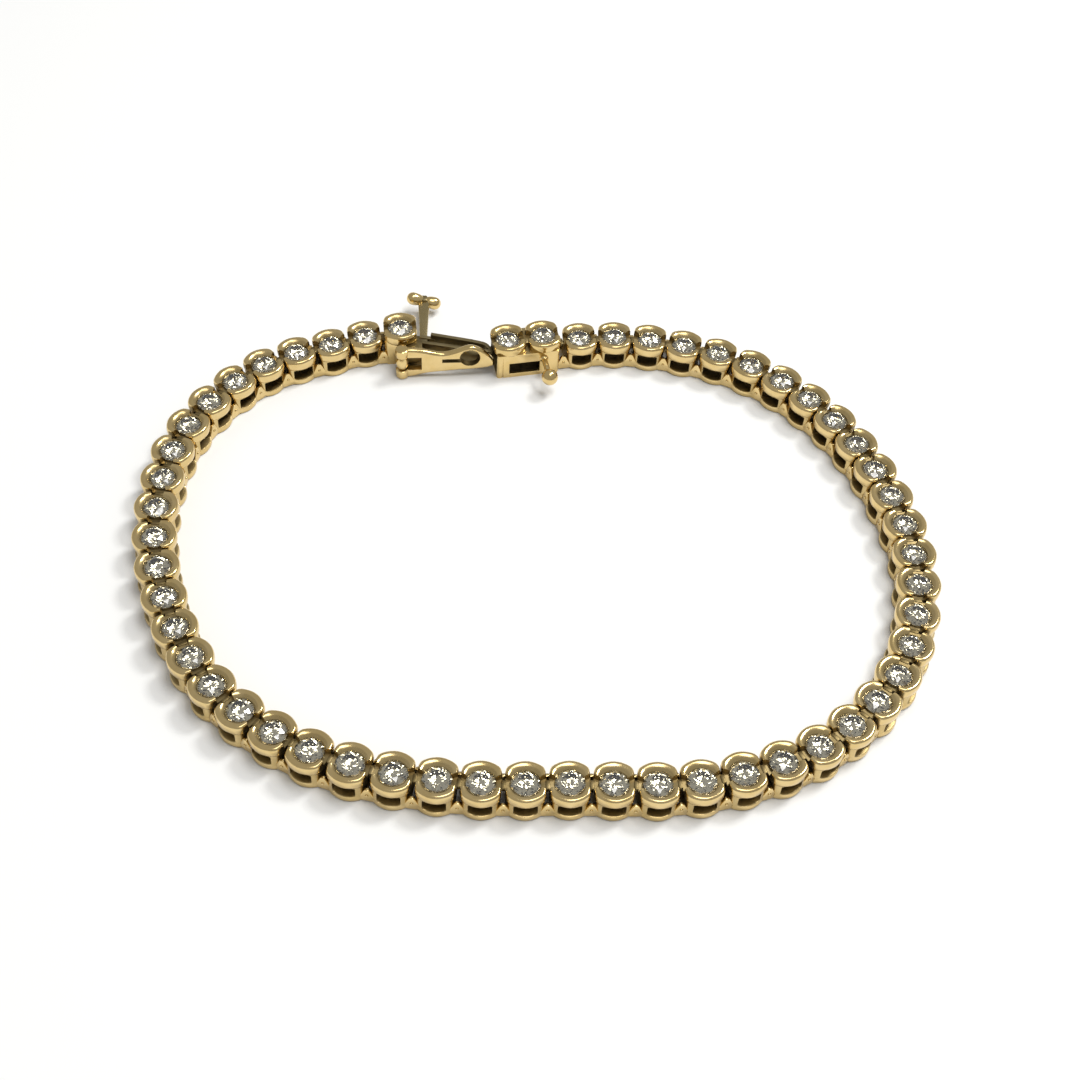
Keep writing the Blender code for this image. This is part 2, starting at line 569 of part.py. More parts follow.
def main():
    clear_scene()
    root = bpy.data.objects.new("bracelet_root", None)
    bpy.context.scene.collection.objects.link(root)
    gold = make_material("gold", (0.73, 0.55, 0.26), 0.24, 1.0)
    diamond = make_material("diamond", (0.90, 0.91, 0.92), 0.05, 0.0)
    materials = [gold, diamond]

    places = link_places(LINKS_LEFT + LINKS_RIGHT)
    box_along = Vector((math.cos(math.radians(BOX_TURN)), math.sin(math.radians(BOX_TURN))))
    tongue_along = Vector((math.cos(math.radians(TONGUE_TURN)), math.sin(math.radians(TONGUE_TURN))))
    box_end = places[-1] - box_along * (PITCH + BOX_SLACK)
    box_centre = box_end - box_along * PITCH / 2
    end_link = places[0] + tongue_along * PITCH
    frames = link_frames(places, end_link, box_end)

    make_chain("link_chain_left", frames[:LINKS_LEFT], materials, root)
    make_chain("link_chain_right", frames[LINKS_LEFT:], materials, root)

    box_frame = place(box_centre.x, box_centre.y, BOX_TURN)
    make_clasp_box(box_frame, materials, root)

    tongue_frame = place(end_link.x, end_link.y, TONGUE_TURN)
    mouth = -BOX_LENGTH / 2 - TIP_CLEARANCE
    tongue_tip = box_frame @ Vector((mouth, -TONGUE_TIP_SHIFT, 0.0))
    spring = tongue_tip.to_2d() - end_link
    spring_frame = place(end_link.x, end_link.y, math.degrees(math.atan2(spring.y, spring.x)))
    hinge_local = Vector((-HINGE_BACK, -END_LINK_WIDTH / 2 - HINGE_REACH, 0.0))
    make_tongue(tongue_frame, spring_frame, spring.length, hinge_local, materials, root)

    hinge = tongue_frame @ hinge_local
    reach = box_frame @ Vector((mouth, -LATCH_TIP_SHIFT, 0.0)) - hinge
    make_latch(reach.length, math.degrees(math.atan2(reach.y, reach.x)), hinge, materials, root)

    kept = [item for item in bpy.data.objects if item.type == "MESH" and not item.name.startswith("cut_")]
    centre_on_floor(root, kept)


main()
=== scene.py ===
"""Looks for the tennis bracelet: rounded half-bezel links, brilliant-cut stones and the open clasp.

Lengths are written in millimetres and turned into metres where a mesh is made. Plan positions are
computed as in the part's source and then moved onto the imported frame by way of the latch's hinge.
"""
import json
import math

import bmesh
import bpy
import numpy as np
from mathutils import Matrix, Vector


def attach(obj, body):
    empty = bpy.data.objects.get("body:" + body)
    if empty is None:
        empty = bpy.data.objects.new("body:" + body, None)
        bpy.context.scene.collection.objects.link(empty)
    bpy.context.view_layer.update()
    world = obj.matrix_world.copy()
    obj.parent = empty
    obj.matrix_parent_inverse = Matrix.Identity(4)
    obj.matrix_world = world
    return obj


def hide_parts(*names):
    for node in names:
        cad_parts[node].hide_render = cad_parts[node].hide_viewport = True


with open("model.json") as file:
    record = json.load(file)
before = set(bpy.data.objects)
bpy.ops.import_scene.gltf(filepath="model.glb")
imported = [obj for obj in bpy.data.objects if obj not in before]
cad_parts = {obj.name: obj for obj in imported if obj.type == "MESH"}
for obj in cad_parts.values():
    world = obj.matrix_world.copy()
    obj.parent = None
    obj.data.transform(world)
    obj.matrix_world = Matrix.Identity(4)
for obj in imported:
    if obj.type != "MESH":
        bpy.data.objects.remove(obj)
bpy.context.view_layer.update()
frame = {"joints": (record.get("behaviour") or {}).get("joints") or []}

MM = 0.001

# Chain, as in the part's source
PITCH = 3.25
LINK_GAP = 0.24
LINK_WIDTH = 3.70
CORNER_WIDTH = 2.60
CORNER_SET_BACK = 0.09
CHANNEL_WIDTH = 1.20
LINK_HEIGHT = 2.70
WINDOW_LENGTH = 1.90
RAIL_HEIGHT = 0.58
BAND_HEIGHT = 0.95
ROUTE = [
    (-16.8, 22.5), (-25.4, 17.8), (-30.6, 9.6), (-31.3, -0.3), (-28.6, -9.7), (-23.4, -17.5),
    (-15.2, -22.6), (-5.6, -24.3), (4.2, -23.8), (14.0, -22.8), (22.7, -18.9), (29.1, -11.6),
    (31.4, -2.3), (30.0, 7.0), (25.4, 16.1), (18.0, 22.3), (8.9, 24.6), (2.95, 24.15),
]
LINKS_LEFT = 26
LINKS_RIGHT = 25

# Clasp, as in the part's source
CLASP_HEIGHT = 3.50
CLASP_BAND_HEIGHT = 0.78
BOX_LENGTH = 5.80
BOX_WIDTH = 3.56
BOX_WALL = 0.34
BOX_FLOOR = 0.45
BOX_TURN = 14.5
BOX_SLACK = 0.26
SIDE_WINDOW_LENGTH = 2.85
SIDE_WINDOW_HEIGHT = 1.20
WINDOW_OFFSET = 0.35
PEG_BALL_DIAMETER = 1.50
PEG_STEM_DIAMETER = 0.52
PEG_STEM_LENGTH = 1.68
PEG_OFFSET = 1.45
PEG_HEIGHT = 1.90
TONGUE_TURN = 9.5
END_LINK_LENGTH = 2.95
END_LINK_WIDTH = 2.80
LEAF_THICKNESS = 0.34
LEAF_CLEARANCE = 0.15
LEAF_SHOULDER_DROP = 0.45
SEAT_SHARE = 0.28
SEAT_DROP = 0.54
TIP_CLEARANCE = 0.16
TONGUE_TIP_SHIFT = 0.20
LATCH_TIP_SHIFT = 0.92
TRIGGER_LENGTH = 5.40
TRIGGER_TURN = 95.2
TRIGGER_FOOT_WIDTH = 0.65
TRIGGER_HEAD_WIDTH = 1.10
TRIGGER_THICKNESS = 0.50
TRIGGER_BAR_LENGTH = 3.30
TRIGGER_LOBE_DIAMETER = 1.20
TRIGGER_WAIST_DIAMETER = 0.62
TRIGGER_ROLL = 16.0
LATCH_THICKNESS = 0.66
LATCH_HEIGHT = 3.25
LATCH_LIFT = 0.05
EYE_HEIGHT = 0.88
EYE_DIAMETER = 1.20
HINGE_CLEARANCE = 0.12
HINGE_REACH = 1.59
HINGE_BACK = 0.02
KNUCKLE_DIAMETER = 1.15
PIN_DIAMETER = 0.44
BRACKET_REACH = 1.90  # of the hinge's bracket along the tongue, from the end link's centre
BRACKET_BACK = 0.52  # of the bracket behind the hinge's axis
BRACKET_LOW = 0.50
BRACKET_HIGH = 2.55
POST_GROOVE = 0.13  # width of the groove in the front post
POST_GROOVE_OFFSET = 0.52  # of the groove from the mouth
KEYHOLE_DIAMETER = 1.85
KEYHOLE_SHARE = 0.735
KEYHOLE_RISE = 0.67
SLIT_WIDTH = 0.36
SLIT_LENGTH = 1.60
FORK_DEPTH = 1.75
LATCH_RIM = 0.27  # radius of the latch's outer edge
SLOT_RIM = 0.05  # and of its keyhole and fork
RIM_STEPS = 5
PROFILE_STEPS = 4
KEYHOLE_STEPS = 40
FLAT_MARGIN = 0.03  # flat strip beside a rounded edge
SLIT_DROP = 0.28  # slit's middle below the keyhole's

# Latch profile from the hinge to the tip: share of its length, underside and top as shares of its height
LATCH_PROFILE = [
    ("eye", 0.00, 0.00, 1.00),
    ("eye_end", 0.11, 0.01, 1.00),
    ("shoulder", 0.22, 0.09, 0.95),
    ("waist", 0.38, 0.15, 0.84),
    ("neck", 0.48, 0.17, 0.83),
    ("flare", 0.60, 0.20, 0.93),
    ("rise", 0.68, 0.21, 1.02),
    ("hump", 0.76, 0.22, 1.05),
    ("cheek", 0.86, 0.25, 0.92),
    ("tip_top", 0.95, 0.29, 0.70),
    ("tip", 1.00, 0.37, 0.50),
]

# Fold of the spring: shares of the reach to the tip and of the end link's width
TONGUE_FOLD = [
    ("root", 0.20, -0.15),
    ("run", 0.84, -0.10),
    ("turn", 0.955, -0.06),
    ("tip", 0.978, 0.02),
    ("beak", 0.945, 0.12),
    ("knee", 0.83, 0.27),
    ("shoulder", 0.31, 0.30),
    ("free_end", 0.19, 0.28),
]

# Quarter of a head's plan, from the middle of its end round to the middle of its side
CHANNEL_COLUMNS = (0.0, 0.30, 0.54)
CORNER_CURVE = [
    ("lip_end", 1.505, 0.62),
    ("lip_flat", 1.500, 0.85),
    ("corner_start", 1.475, 1.05),
    ("corner", 1.42, 1.21),
    ("corner_end", 1.34, 1.33),
]
SIDE_COLUMNS = (1.22, 1.08, 0.95, 0.88, 0.75, 0.55, 0.28)

# Outer wall and lip: inset from the plan or share of the way to the stone, and depth below the crest
BAND_RINGS = [
    ("band_edge", 0.10, 0.95),
    ("band_round", 0.05, 0.89),
    ("band_low", 0.02, 0.76),
    ("band_high", 0.00, 0.46),
    ("lip_edge", 0.01, 0.27),
]
LIP_RINGS = [
    ("lip_round", 0.045, 0.15),
    ("lip_shoulder", 0.11, 0.07),
    ("crest_outer", 0.20, 0.018),
    ("crest", 0.30, 0.00),
    ("crest_inner", 0.43, 0.010),
    ("shoulder_high", 0.56, 0.036),
    ("shoulder", 0.68, 0.08),
    ("shoulder_low", 0.79, 0.14),
    ("bowl", 0.90, 0.21),
    ("rim", 0.97, 0.27),
    ("rim_round", 1.00, 0.31),
]
CHANNEL_DROP = 0.52  # of the channel's floor and the cup's rim below the crest
CHANNEL_SLOPE = 0.04  # fall of that floor on its way to the stone
SEAT_RADIUS = 1.06
CUP_SHARE = 0.97  # radius of the cup's rim over the seat's
CUP_DEPTH = 1.52  # of the cup's point below the crest
END_WALL_START = 1.44  # from a head's middle, past which a wall faces the next link
END_PIER_START = 1.40  # the same, beside the window
BAND_EDGE_DEPTH = 0.80  # below which the band gets painted shade
BOWL_SHARE = 0.60  # of the way to the stone, past which the lip gets painted shade

# Link below its band: inset from the plan, height and painted shade
FOOT_RINGS = [
    ("foot_edge", 0.09, 0.05, 0.50),
    ("foot", 0.05, 0.20, 0.15),
    ("rail", 0.05, 0.45, 0.00),
]
UNDERSIDE_INSET = 0.17
UNDERSIDE_HOLLOW = 0.05
WALL_INSET = 0.10  # of the wall that holds the windows
WINDOW_MIDDLE = (RAIL_HEIGHT + LINK_HEIGHT - BAND_HEIGHT) / 2
WINDOW_HALF = (LINK_HEIGHT - BAND_HEIGHT - RAIL_HEIGHT) / 2
WINDOW_END_HALF = 0.30  # half the window's height at its ends
WINDOW_ROUNDING = 6  # power of the curve that rounds its ends
SILL_SHARE = 0.97  # of the window's length, at its inner edge
SILL_INSET = 0.09  # of that edge from the outer one
SILL_SHRINK = 0.035  # of half its height, there
THROAT_SHARE = 0.80  # of the inner edge's length
THROAT_HALF_WIDTH = 0.62  # of the way between the windows, under the cup
THROAT_HEIGHT = 1.12

# What joins two links
GUSSET_HALF = 0.74
GUSSET_FOOT = 0.10  # height of its lower edge
GUSSET_APEX = 1.52
GUSSET_CORNER = 0.16
GUSSET_THICKNESS = 0.30
GUSSET_OFFSET = 1.26  # from the chain's middle line
GUSSET_PIN_RADIUS = 0.13
GUSSET_PIN_HEIGHT = 0.86
GUSSET_PIN_ROOT = 0.10  # length of the pin inside the gusset
PIN_DOME = [(1.00, 0.30), (0.85, 0.65), (0.45, 0.92), (0.00, 1.00)]  # shares of the pin's radius
BAR_HALF = (0.17, 0.38, 0.20)
BAR_TOP = 2.24

# Box of the clasp
NECK_DROP = 1.05  # of a clasp head's neck below its crest
NECK_INSET = 0.16
BODY_TOP = CLASP_HEIGHT - CLASP_BAND_HEIGHT
BOX_HALF = BOX_LENGTH / 2
BOX_SIDE = BOX_WIDTH / 2
BOX_INSET = 0.08  # of the box's walls from the sides of its top plate
BOX_DROP = 0.20  # of the walls' upper edge below the plate's
BOX_EDGE = 0.06  # radius of the walls' edges
PLATE_THICKNESS = 0.30
PLATE_EDGE = 0.10  # and of the plate's, and of the end link's
POST_GROOVE_DEPTH = 0.18  # from the plate's side
CUT_MARGIN = 0.10  # how far a cut starts outside what it cuts
CUTTER_GAP = 0.02  # between a cup and the room cut for it
CUTTER_RIM_DEPTH = 0.50
CUTTER_TOP = 0.20  # above the crest
INSIDE_SIDE_SHARE = 0.7  # of the wall's thickness, past which it counts as the inside, which gets painted shade
INSIDE_END_SHARE = 0.5  # the same at its end
INSIDE_LOW = 0.30
INSIDE_DROP = 0.25  # below the plate's top
PLATE_RIM = 0.15  # width of the strip along the plate's sides kept bright, left out of the painted shade on the plate's top
SURFACE_SLACK = 0.02
BOX_BAR_HALF = (0.21, 0.54, 0.30)
BOX_BAR_DROP = 0.78  # of the bar's middle below the crest
FIRST_BOX_STONE = LINKS_LEFT + LINKS_RIGHT + 1
PEG_FOOT = [(1.50, -0.25), (1.50, 0.02), (1.15, 0.12), (1.00, 0.25)]  # share of the stem's radius, reach
PEG_SINK = 0.02  # of the stem into its ball
PEG_BALL_STEPS = 15

# Tongue, hinge and trigger
SPRING_LOW = BOX_FLOOR + LEAF_CLEARANCE
SPRING_HIGH = BODY_TOP - BOX_WALL - LEAF_CLEARANCE
LEAF_STEPS = 5
LEAF_END_SHARE = 0.1  # of the last stretch, overlapped by the low end
LEAF_END_THICKENING = 1.1
FORK_LOW = LATCH_LIFT + EYE_HEIGHT
FORK_HIGH = LATCH_LIFT + LATCH_HEIGHT - EYE_HEIGHT
KNUCKLE_LOW = FORK_LOW + HINGE_CLEARANCE
KNUCKLE_HIGH = FORK_HIGH - HINGE_CLEARANCE
KNUCKLE_END_SHARE = 0.72  # radius of the knuckle's ends over its middle's
KNUCKLE_STEPS = 8
PIN_REACH = 0.40  # of the hinge's pin past the knuckle
ARM_SHARE = 0.62  # half its width over the knuckle's radius
HUB_HALF = (0.38, 0.34, 0.42)
LOBE_STEPS = 6
WAIST_STEPS = 8
WAIST_SHARE = 0.9  # of the way from a lobe to the bar's middle

# Latch's cuts, their walls painted with shade: how far beyond each cut's edge, and how far from the plate's
# middle plane
HOLE_MARGIN = 0.02
SLIT_MARGIN = 0.04
FORK_MARGIN = 0.10
FORK_HALF = 0.70
CUT_WALL_HALF = 0.30
EYE_ROUND = [(0.82, 0.00), (0.95, 0.05), (1.00, 0.14)]  # share of the eye's radius, distance from its end

# Sides of turned shapes
PIN_SIDES = 12
KNUCKLE_SIDES = 24  # and of the trigger's bar
EYE_SIDES = 28  # and of the peg
CUTTER_SIDES = 32

PLAN_SLACK = 0.001
ROUTE_STEPS = 40
HALVINGS = 40  # of a step, to find a link's place
EDGE_ANGLE = 30  # degrees, past which a prism's edge is rounded
CUT_EDGE_ANGLE = 35  # the same after a cut
SMOOTH_ANGLE = 38  # degrees between faces shaded as one

# How dark a surface is painted: painted shade, from polished gold at 0 to the darkest shade of a deep recess
# at 1
CHANNEL_SHADE = 0.90
END_WALL_SHADE = 0.95
END_FOOT_SHADE = 0.75
WALL_SHADE = 0.20
BAND_EDGE_SHADE = 0.25
BOWL_SHADE = 0.35
CUP_RIM_SHADE = 0.70
UNDERSIDE_SHADE = 0.60
SILL_SHADE = 0.85
BOX_PLATE_SHADE = 0.55
FORK_END_SHADE = 0.60
DARK = 0.80
DEEP = 1.00

# Prisms and blocks: radius of the edges, how much painted shade they get and, for some, steps of the
# rounding
GUSSET_BEVEL_SHADE = (0.05, 0.00)
BAR_BEVEL_SHADE = (0.06, DEEP)
BOX_BAR_BEVEL_SHADE = (0.06, 0.60)
ARM_BEVEL_SHADE = (0.06, 0.40)
BRACKET_BEVEL_SHADE = (0.08, 0.90)
SEAT_BEVEL_SHADE = (0.06, 0.80)
LEAF_BEVEL_SHADE = (0.045, 0.60)
LEAF_END_BEVEL_SHADE = (0.04, 0.30)
STEM_BEVEL_SHADE = (0.08, 0.10, 3)
HUB_BEVEL_SHADE = (0.14, 0.50)
CUT_BEVEL_SHADE = (0.0001, 0.00, 1)

# Stone: a round brilliant
STONE_RADIUS = 1.13
STONE_LEAN = 2.5  # degrees at most, from level
TABLE_SHARE = 0.57
TABLE_DEPTH = 0.02  # below the crest
GIRDLE_DEPTH = 0.345
GIRDLE_THICKNESS = 0.03
STAR_SHARE = 0.50  # of the way from table to girdle
PAVILION_DEPTH = 0.86  # over the stone's radius
LOWER_TIP_SHARE = 0.24  # of the radius, at the lower facets' points
STONE_SPIN = 137.5  # degrees from stone to stone
LEAN_STEPS = (2.4, 1.7)  # radians from stone to stone, about X and Y

# Gold: colour, colour of the painted shade in recesses, roughness, and how fully that painted shade darkens
GOLD_LOOKS = {
    "chain_gold": ((0.77, 0.59, 0.29), (0.085, 0.062, 0.024), 0.16, 0.9),
    "clasp_gold": ((0.76, 0.575, 0.27), (0.06, 0.045, 0.018), 0.17, 1.0),
    # a darker copy of the gold, painted shade on the spring and the trigger's stem
    "shaded_tongue_gold": ((0.47, 0.38, 0.20), (0.07, 0.055, 0.03), 0.24, 0.9),
}
TARNISH = (0.93, 0.90, 0.80)  # of each colour channel
SHADE_LEAST = 0.75  # of the painted shade's strength, where it is weakest
CLOUD_SCALE = 900.0
CLOUD_DETAIL = 4.0
WEAR_SCALE = 7000.0
DENT_SCALE = 2600.0
FINE_DETAIL = 3.0
GOLD_GRAIN = 0.55
CLOUD_RANGE = (0.3, 0.7)
TARNISH_RANGE = (0.35, 0.65)
WEAR_LEAST = 0.9  # of the roughness
WEAR_MOST = 1.15
RECESS_ROUGHNESS = 0.28
DENT_STRENGTH = 0.12
DENT_DISTANCE = 0.00001

# Stone and floor: two tints each, and the noise between them
STONE_TINTS = ((0.55, 0.49, 0.33), (0.80, 0.75, 0.56))
STONE_SCALE = 500.0
STONE_IOR = 2.42
FLOOR_TINTS = ((0.86, 0.86, 0.845), (0.88, 0.88, 0.865))
FLOOR_SCALE = 12.0
FLOOR_ROUGHNESS = 0.75
FLOOR_REACH = 1.5  # metres

# Lights, all turned to the origin: size and place in metres, watts, and whether they show on rough
# surfaces and in polished ones
LIGHTS = [
    ("top_softbox", (0.24, 0.16), (0.09, 0.0, 0.42), 1.0, True, False),
    ("glint", (0.26, 0.13), (0.06, -0.01, 0.42), 0.38, False, True),
    ("key", (0.12, 0.12), (0.26, 0.20, 0.46), 1.3, True, True),
    ("stone_fill", (0.16, 0.12), (0.06, -0.12, 0.40), 0.22, False, False),
]
WORLD_STRENGTH = 0.42

# Camera, found from the places of the stones in the photograph, over the table
CAMERA_PLACE = (0.41849428, -88.32245414, 103.9834)
CAMERA_ELEVATION = 0.85921948
CAMERA_ROLL = 0.06626113
CAMERA_FOCUS_PIXELS = 1628.4
PHOTO_PIXELS = 1080
SENSOR_WIDTH = 36.0


class Shell:
    """Points, faces and a painted shade value for each point, built up before it becomes one mesh."""

    def __init__(self):
        self.points = []
        self.faces = []
        self.painted_shade = []

    def ring(self, points, painted_shade=0.0):
        """Adds points and returns their numbers. The painted shade is one value or one for each point."""
        first = len(self.points)
        self.points += [tuple(p) for p in points]
        self.painted_shade += [painted_shade] * len(points) if isinstance(painted_shade, (int, float)) else list(painted_shade)
        return list(range(first, len(self.points)))

    def bridge(self, low, high, skip=()):
        """Faces between two closed rings of one length."""
        count = len(low)
        for k in range(count):
            if k not in skip:
                after = (k + 1) % count
                self.faces.append((low[k], low[after], high[after], high[k]))

    def stack(self, rings):
        """Faces between each ring and the next."""
        for low, high in zip(rings, rings[1:]):
            self.bridge(low, high)

    def cap(self, ring, point, painted_shade=0.0):
        """Closes a ring by a fan to one point."""
        tip = self.ring([point], painted_shade)[0]
        for k in range(len(ring)):
            self.faces.append((ring[k], ring[(k + 1) % len(ring)], tip))

    def add(self, other, matrix=None):
        """Takes in another shell, moved where a matrix is given."""
        first = len(self.points)
        if matrix is None:
            self.points += other.points
        else:
            grid = np.array(matrix)
            points = np.array(other.points) @ grid[:3, :3].T + grid[:3, 3]
            self.points += [tuple(p) for p in points]
        self.faces += [tuple(v + first for v in face) for face in other.faces]
        self.painted_shade += other.painted_shade


def moved(shell, matrix):
    """A copy of a shell, moved."""
    copy = Shell()
    copy.add(shell, matrix)
    return copy


def shift(x, y, z):
    """A matrix that moves."""
    return Matrix.Translation((x, y, z))


def turn(degrees, axis):
    """A matrix that turns about an axis."""
    return Matrix.Rotation(math.radians(degrees), 4, axis)


def place(x, y, degrees):
    """A frame on the plan, turned about Z."""
    return shift(x, y, 0.0) @ turn(degrees, "Z")


def direction(degrees):
    """A heading in plan as a vector."""
    return Vector((math.cos(math.radians(degrees)), math.sin(math.radians(degrees))))


def catmull_rom(points, samples):
    """A smooth curve through the points."""
    padded = [points[0] * 2 - points[1]] + points + [points[-1] * 2 - points[-2]]
    curve = []
    for a, b, c, d in zip(padded, padded[1:], padded[2:], padded[3:]):
        for step in range(samples):
            t = step / samples
            curve.append(0.5 * (2 * b + (c - a) * t + (2 * a - 5 * b + 4 * c - d) * t * t
                                + (3 * b - a - 3 * c + d) * t ** 3))
    return curve + [points[-1]]


def walk(curve, step, count):
    """Points along the curve whose straight distance to the last is one step, up to count."""
    places = [curve[0]]
    for start, end in zip(curve, curve[1:]):
        while len(places) < count and (end - places[-1]).length >= step:
            low, high = 0.0, 1.0
            for _ in range(HALVINGS):
                middle = (low + high) / 2
                if (start.lerp(end, middle) - places[-1]).length < step:
                    low = middle
                else:
                    high = middle
            places.append(start.lerp(end, high))
    return places


def link_places(count):
    """The links' centres, on the route scaled to hold them all."""
    route = catmull_rom([Vector(point) for point in ROUTE], ROUTE_STEPS)
    length = sum((b - a).length for a, b in zip(route, route[1:]))
    curve = [point * PITCH * (count - 1) / length for point in route]
    beyond = curve[-1] + (curve[-1] - curve[-2]).normalized() * PITCH
    return walk(curve + [beyond], PITCH, count)


def heading(line):
    """Degrees in plan of a 2-D vector."""
    return math.degrees(math.atan2(line.y, line.x))


def head_columns():
    """Plan points round a head, and for each whether it is in the channel."""
    half_width = LINK_WIDTH / 2
    bow = (LINK_WIDTH - CORNER_WIDTH) / 2
    corner_x = (PITCH - LINK_GAP) / 2 - CORNER_SET_BACK
    end_x = (PITCH - LINK_GAP) / 2
    quarter = [(end_x, y, True) for y in CHANNEL_COLUMNS]
    quarter += [(x, y, False) for _, x, y in CORNER_CURVE]
    quarter += [(x, half_width - bow * (x / corner_x) ** 2, False) for x in SIDE_COLUMNS]
    upper = quarter + [(0.0, half_width, False)]
    upper += [(-x, y, flat) for x, y, flat in reversed(quarter)]
    lower = [(x, -y, flat) for x, y, flat in reversed(upper[1:-1])]
    return upper + lower


COLUMNS = head_columns()


def inset_plan(inset):
    """The head's plan drawn in, towards its own middle line."""
    points = []
    for k, (x, y, _) in enumerate(COLUMNS):
        before = COLUMNS[k - 1]
        after = COLUMNS[(k + 1) % len(COLUMNS)]
        along = Vector((after[0] - before[0], after[1] - before[1])).normalized()
        points.append((x - along.y * inset, y + along.x * inset))
    return points


def toward_stone(share, radius=SEAT_RADIUS):
    """The head's plan moved a share of the way to the stone's seat."""
    points = []
    for x, y, _ in COLUMNS:
        angle = math.atan2(y, x)
        seat_x, seat_y = radius * math.cos(angle), radius * math.sin(angle)
        points.append((x + (seat_x - x) * share, y + (seat_y - y) * share))
    return points


def add_ring(shell, plan, height, channel_height, shade, channel_shade, end_shade):
    """One ring of a head, which keeps its own height and shade where it crosses the channel."""
    points, painted_shade = [], []
    for (x, y), (_, _, channel) in zip(plan, COLUMNS):
        points.append((x, y, channel_height if channel else height))
        painted_shade.append(channel_shade if channel else end_shade if abs(x) > END_WALL_START else shade)
    return shell.ring(points, painted_shade)


def add_head(shell, top, first_ring):
    """Band, lip and seat of one head, from the band's lower edge up and into the cup."""
    rings = [first_ring]
    for _, inset, depth in BAND_RINGS:
        shade = BAND_EDGE_SHADE if depth > BAND_EDGE_DEPTH else 0.0
        rings.append(add_ring(shell, inset_plan(inset), top - depth, top - max(depth, CHANNEL_DROP),
                              shade, CHANNEL_SHADE, END_WALL_SHADE))
    for _, share, depth in LIP_RINGS:
        shade = BOWL_SHADE if share > BOWL_SHARE else 0.0
        floor = top - (CHANNEL_DROP + CHANNEL_SLOPE * share)
        rings.append(add_ring(shell, toward_stone(share), top - depth, floor, shade, DARK, shade))
    cup_plan = toward_stone(1.0, SEAT_RADIUS * CUP_SHARE)
    rings.append(shell.ring([(x, y, top - CHANNEL_DROP) for x, y in cup_plan], CUP_RIM_SHADE))
    shell.stack(rings)
    shell.cap(rings[-1], (0.0, 0.0, top - CUP_DEPTH), DEEP)


def window_columns():
    """Numbers of the columns at the +Y and at the -Y window, each from +X to -X."""
    reach = WINDOW_LENGTH / 2 + PLAN_SLACK
    found = [k for k, (x, y, _) in enumerate(COLUMNS) if abs(x) <= reach and abs(y) > CHANNEL_WIDTH]
    upper = [k for k in found if COLUMNS[k][1] > 0]
    lower = sorted((k for k in found if COLUMNS[k][1] < 0), reverse=True)
    return upper, lower


def window_half(x, shrink=0.0):
    """Half the window's height at a place along it, with rounded ends."""
    reach = min(abs(x) / (WINDOW_LENGTH / 2), 1.0)
    rounding = (1 - reach ** WINDOW_ROUNDING) ** 0.5
    return WINDOW_END_HALF + (WINDOW_HALF - WINDOW_END_HALF) * rounding - shrink


def wall_ring(shell, windows, sign, height):
    """The ring along the windows' lower edges, for sign -1, or upper edges, for sign 1."""
    points = []
    for k, (x, y) in enumerate(inset_plan(WALL_INSET)):
        points.append((x, y, WINDOW_MIDDLE + sign * window_half(x) if k in windows else height))
    painted_shade = [DARK if abs(x) > END_PIER_START else WALL_SHADE for x, _, _ in COLUMNS]
    return shell.ring(points, painted_shade)


def add_tunnel(shell, side, low_rim, high_rim):
    """One window's edge and its way in. Returns the ring where it meets the other window's."""
    plan = inset_plan(WALL_INSET)
    outward = 1 if COLUMNS[side[0]][1] > 0 else -1
    outer = [low_rim[k] for k in side] + [high_rim[k] for k in reversed(side)]
    sill = []
    for sign, row in ((-1, side), (1, side[::-1])):
        for k in row:
            x, y = plan[k]
            height = WINDOW_MIDDLE + sign * window_half(x, SILL_SHRINK)
            sill.append((x * SILL_SHARE, y - outward * SILL_INSET, height))
    inner = shell.ring(sill, SILL_SHADE)
    throat = [(x * THROAT_SHARE, outward * THROAT_HALF_WIDTH, min(z, THROAT_HEIGHT)) for x, _, z in sill]
    deep = shell.ring(throat, DEEP)
    shell.stack([outer, inner, deep])
    return deep


def make_link():
    """One link without its stone and lugs."""
    shell = Shell()
    rings = [shell.ring([(x, y, 0.0) for x, y in inset_plan(UNDERSIDE_INSET)], UNDERSIDE_SHADE)]
    shell.cap(rings[0], (0.0, 0.0, UNDERSIDE_HOLLOW), UNDERSIDE_SHADE)
    for _, inset, height, painted_shade in FOOT_RINGS:
        shades = [END_FOOT_SHADE if abs(x) > END_WALL_START else painted_shade for x, _, _ in COLUMNS]
        rings.append(shell.ring([(x, y, height) for x, y in inset_plan(inset)], shades))
    upper, lower = window_columns()
    windows = set(upper + lower)
    low_rim = wall_ring(shell, windows, -1, RAIL_HEIGHT)
    high_rim = wall_ring(shell, windows, 1, LINK_HEIGHT - BAND_HEIGHT)
    shell.stack(rings + [low_rim])
    open_faces = set(upper[:-1]) | {k - 1 for k in lower[:-1]}
    shell.bridge(low_rim, high_rim, skip=open_faces)
    tunnels = [add_tunnel(shell, side, low_rim, high_rim) for side in (upper, lower)]
    shell.stack(tunnels)
    add_head(shell, LINK_HEIGHT, high_rim)
    return shell


def from_bmesh(bm, painted_shade=0.0):
    """A shell of an edit mesh, which is freed."""
    shell = Shell()
    bm.verts.index_update()
    shell.points = [tuple(v.co) for v in bm.verts]
    shell.faces = [tuple(v.index for v in f.verts) for f in bm.faces]
    shell.painted_shade = [painted_shade] * len(shell.points)
    bm.free()
    return shell


def make_block(half, bevel, painted_shade):
    """A box with rounded edges, given by half its size."""
    bm = bmesh.new()
    bmesh.ops.create_cube(bm, size=2.0)
    bmesh.ops.scale(bm, vec=half, verts=bm.verts)
    bmesh.ops.bevel(bm, geom=bm.edges[:], offset=bevel, segments=2, profile=0.5, affect="EDGES")
    return from_bmesh(bm, painted_shade)


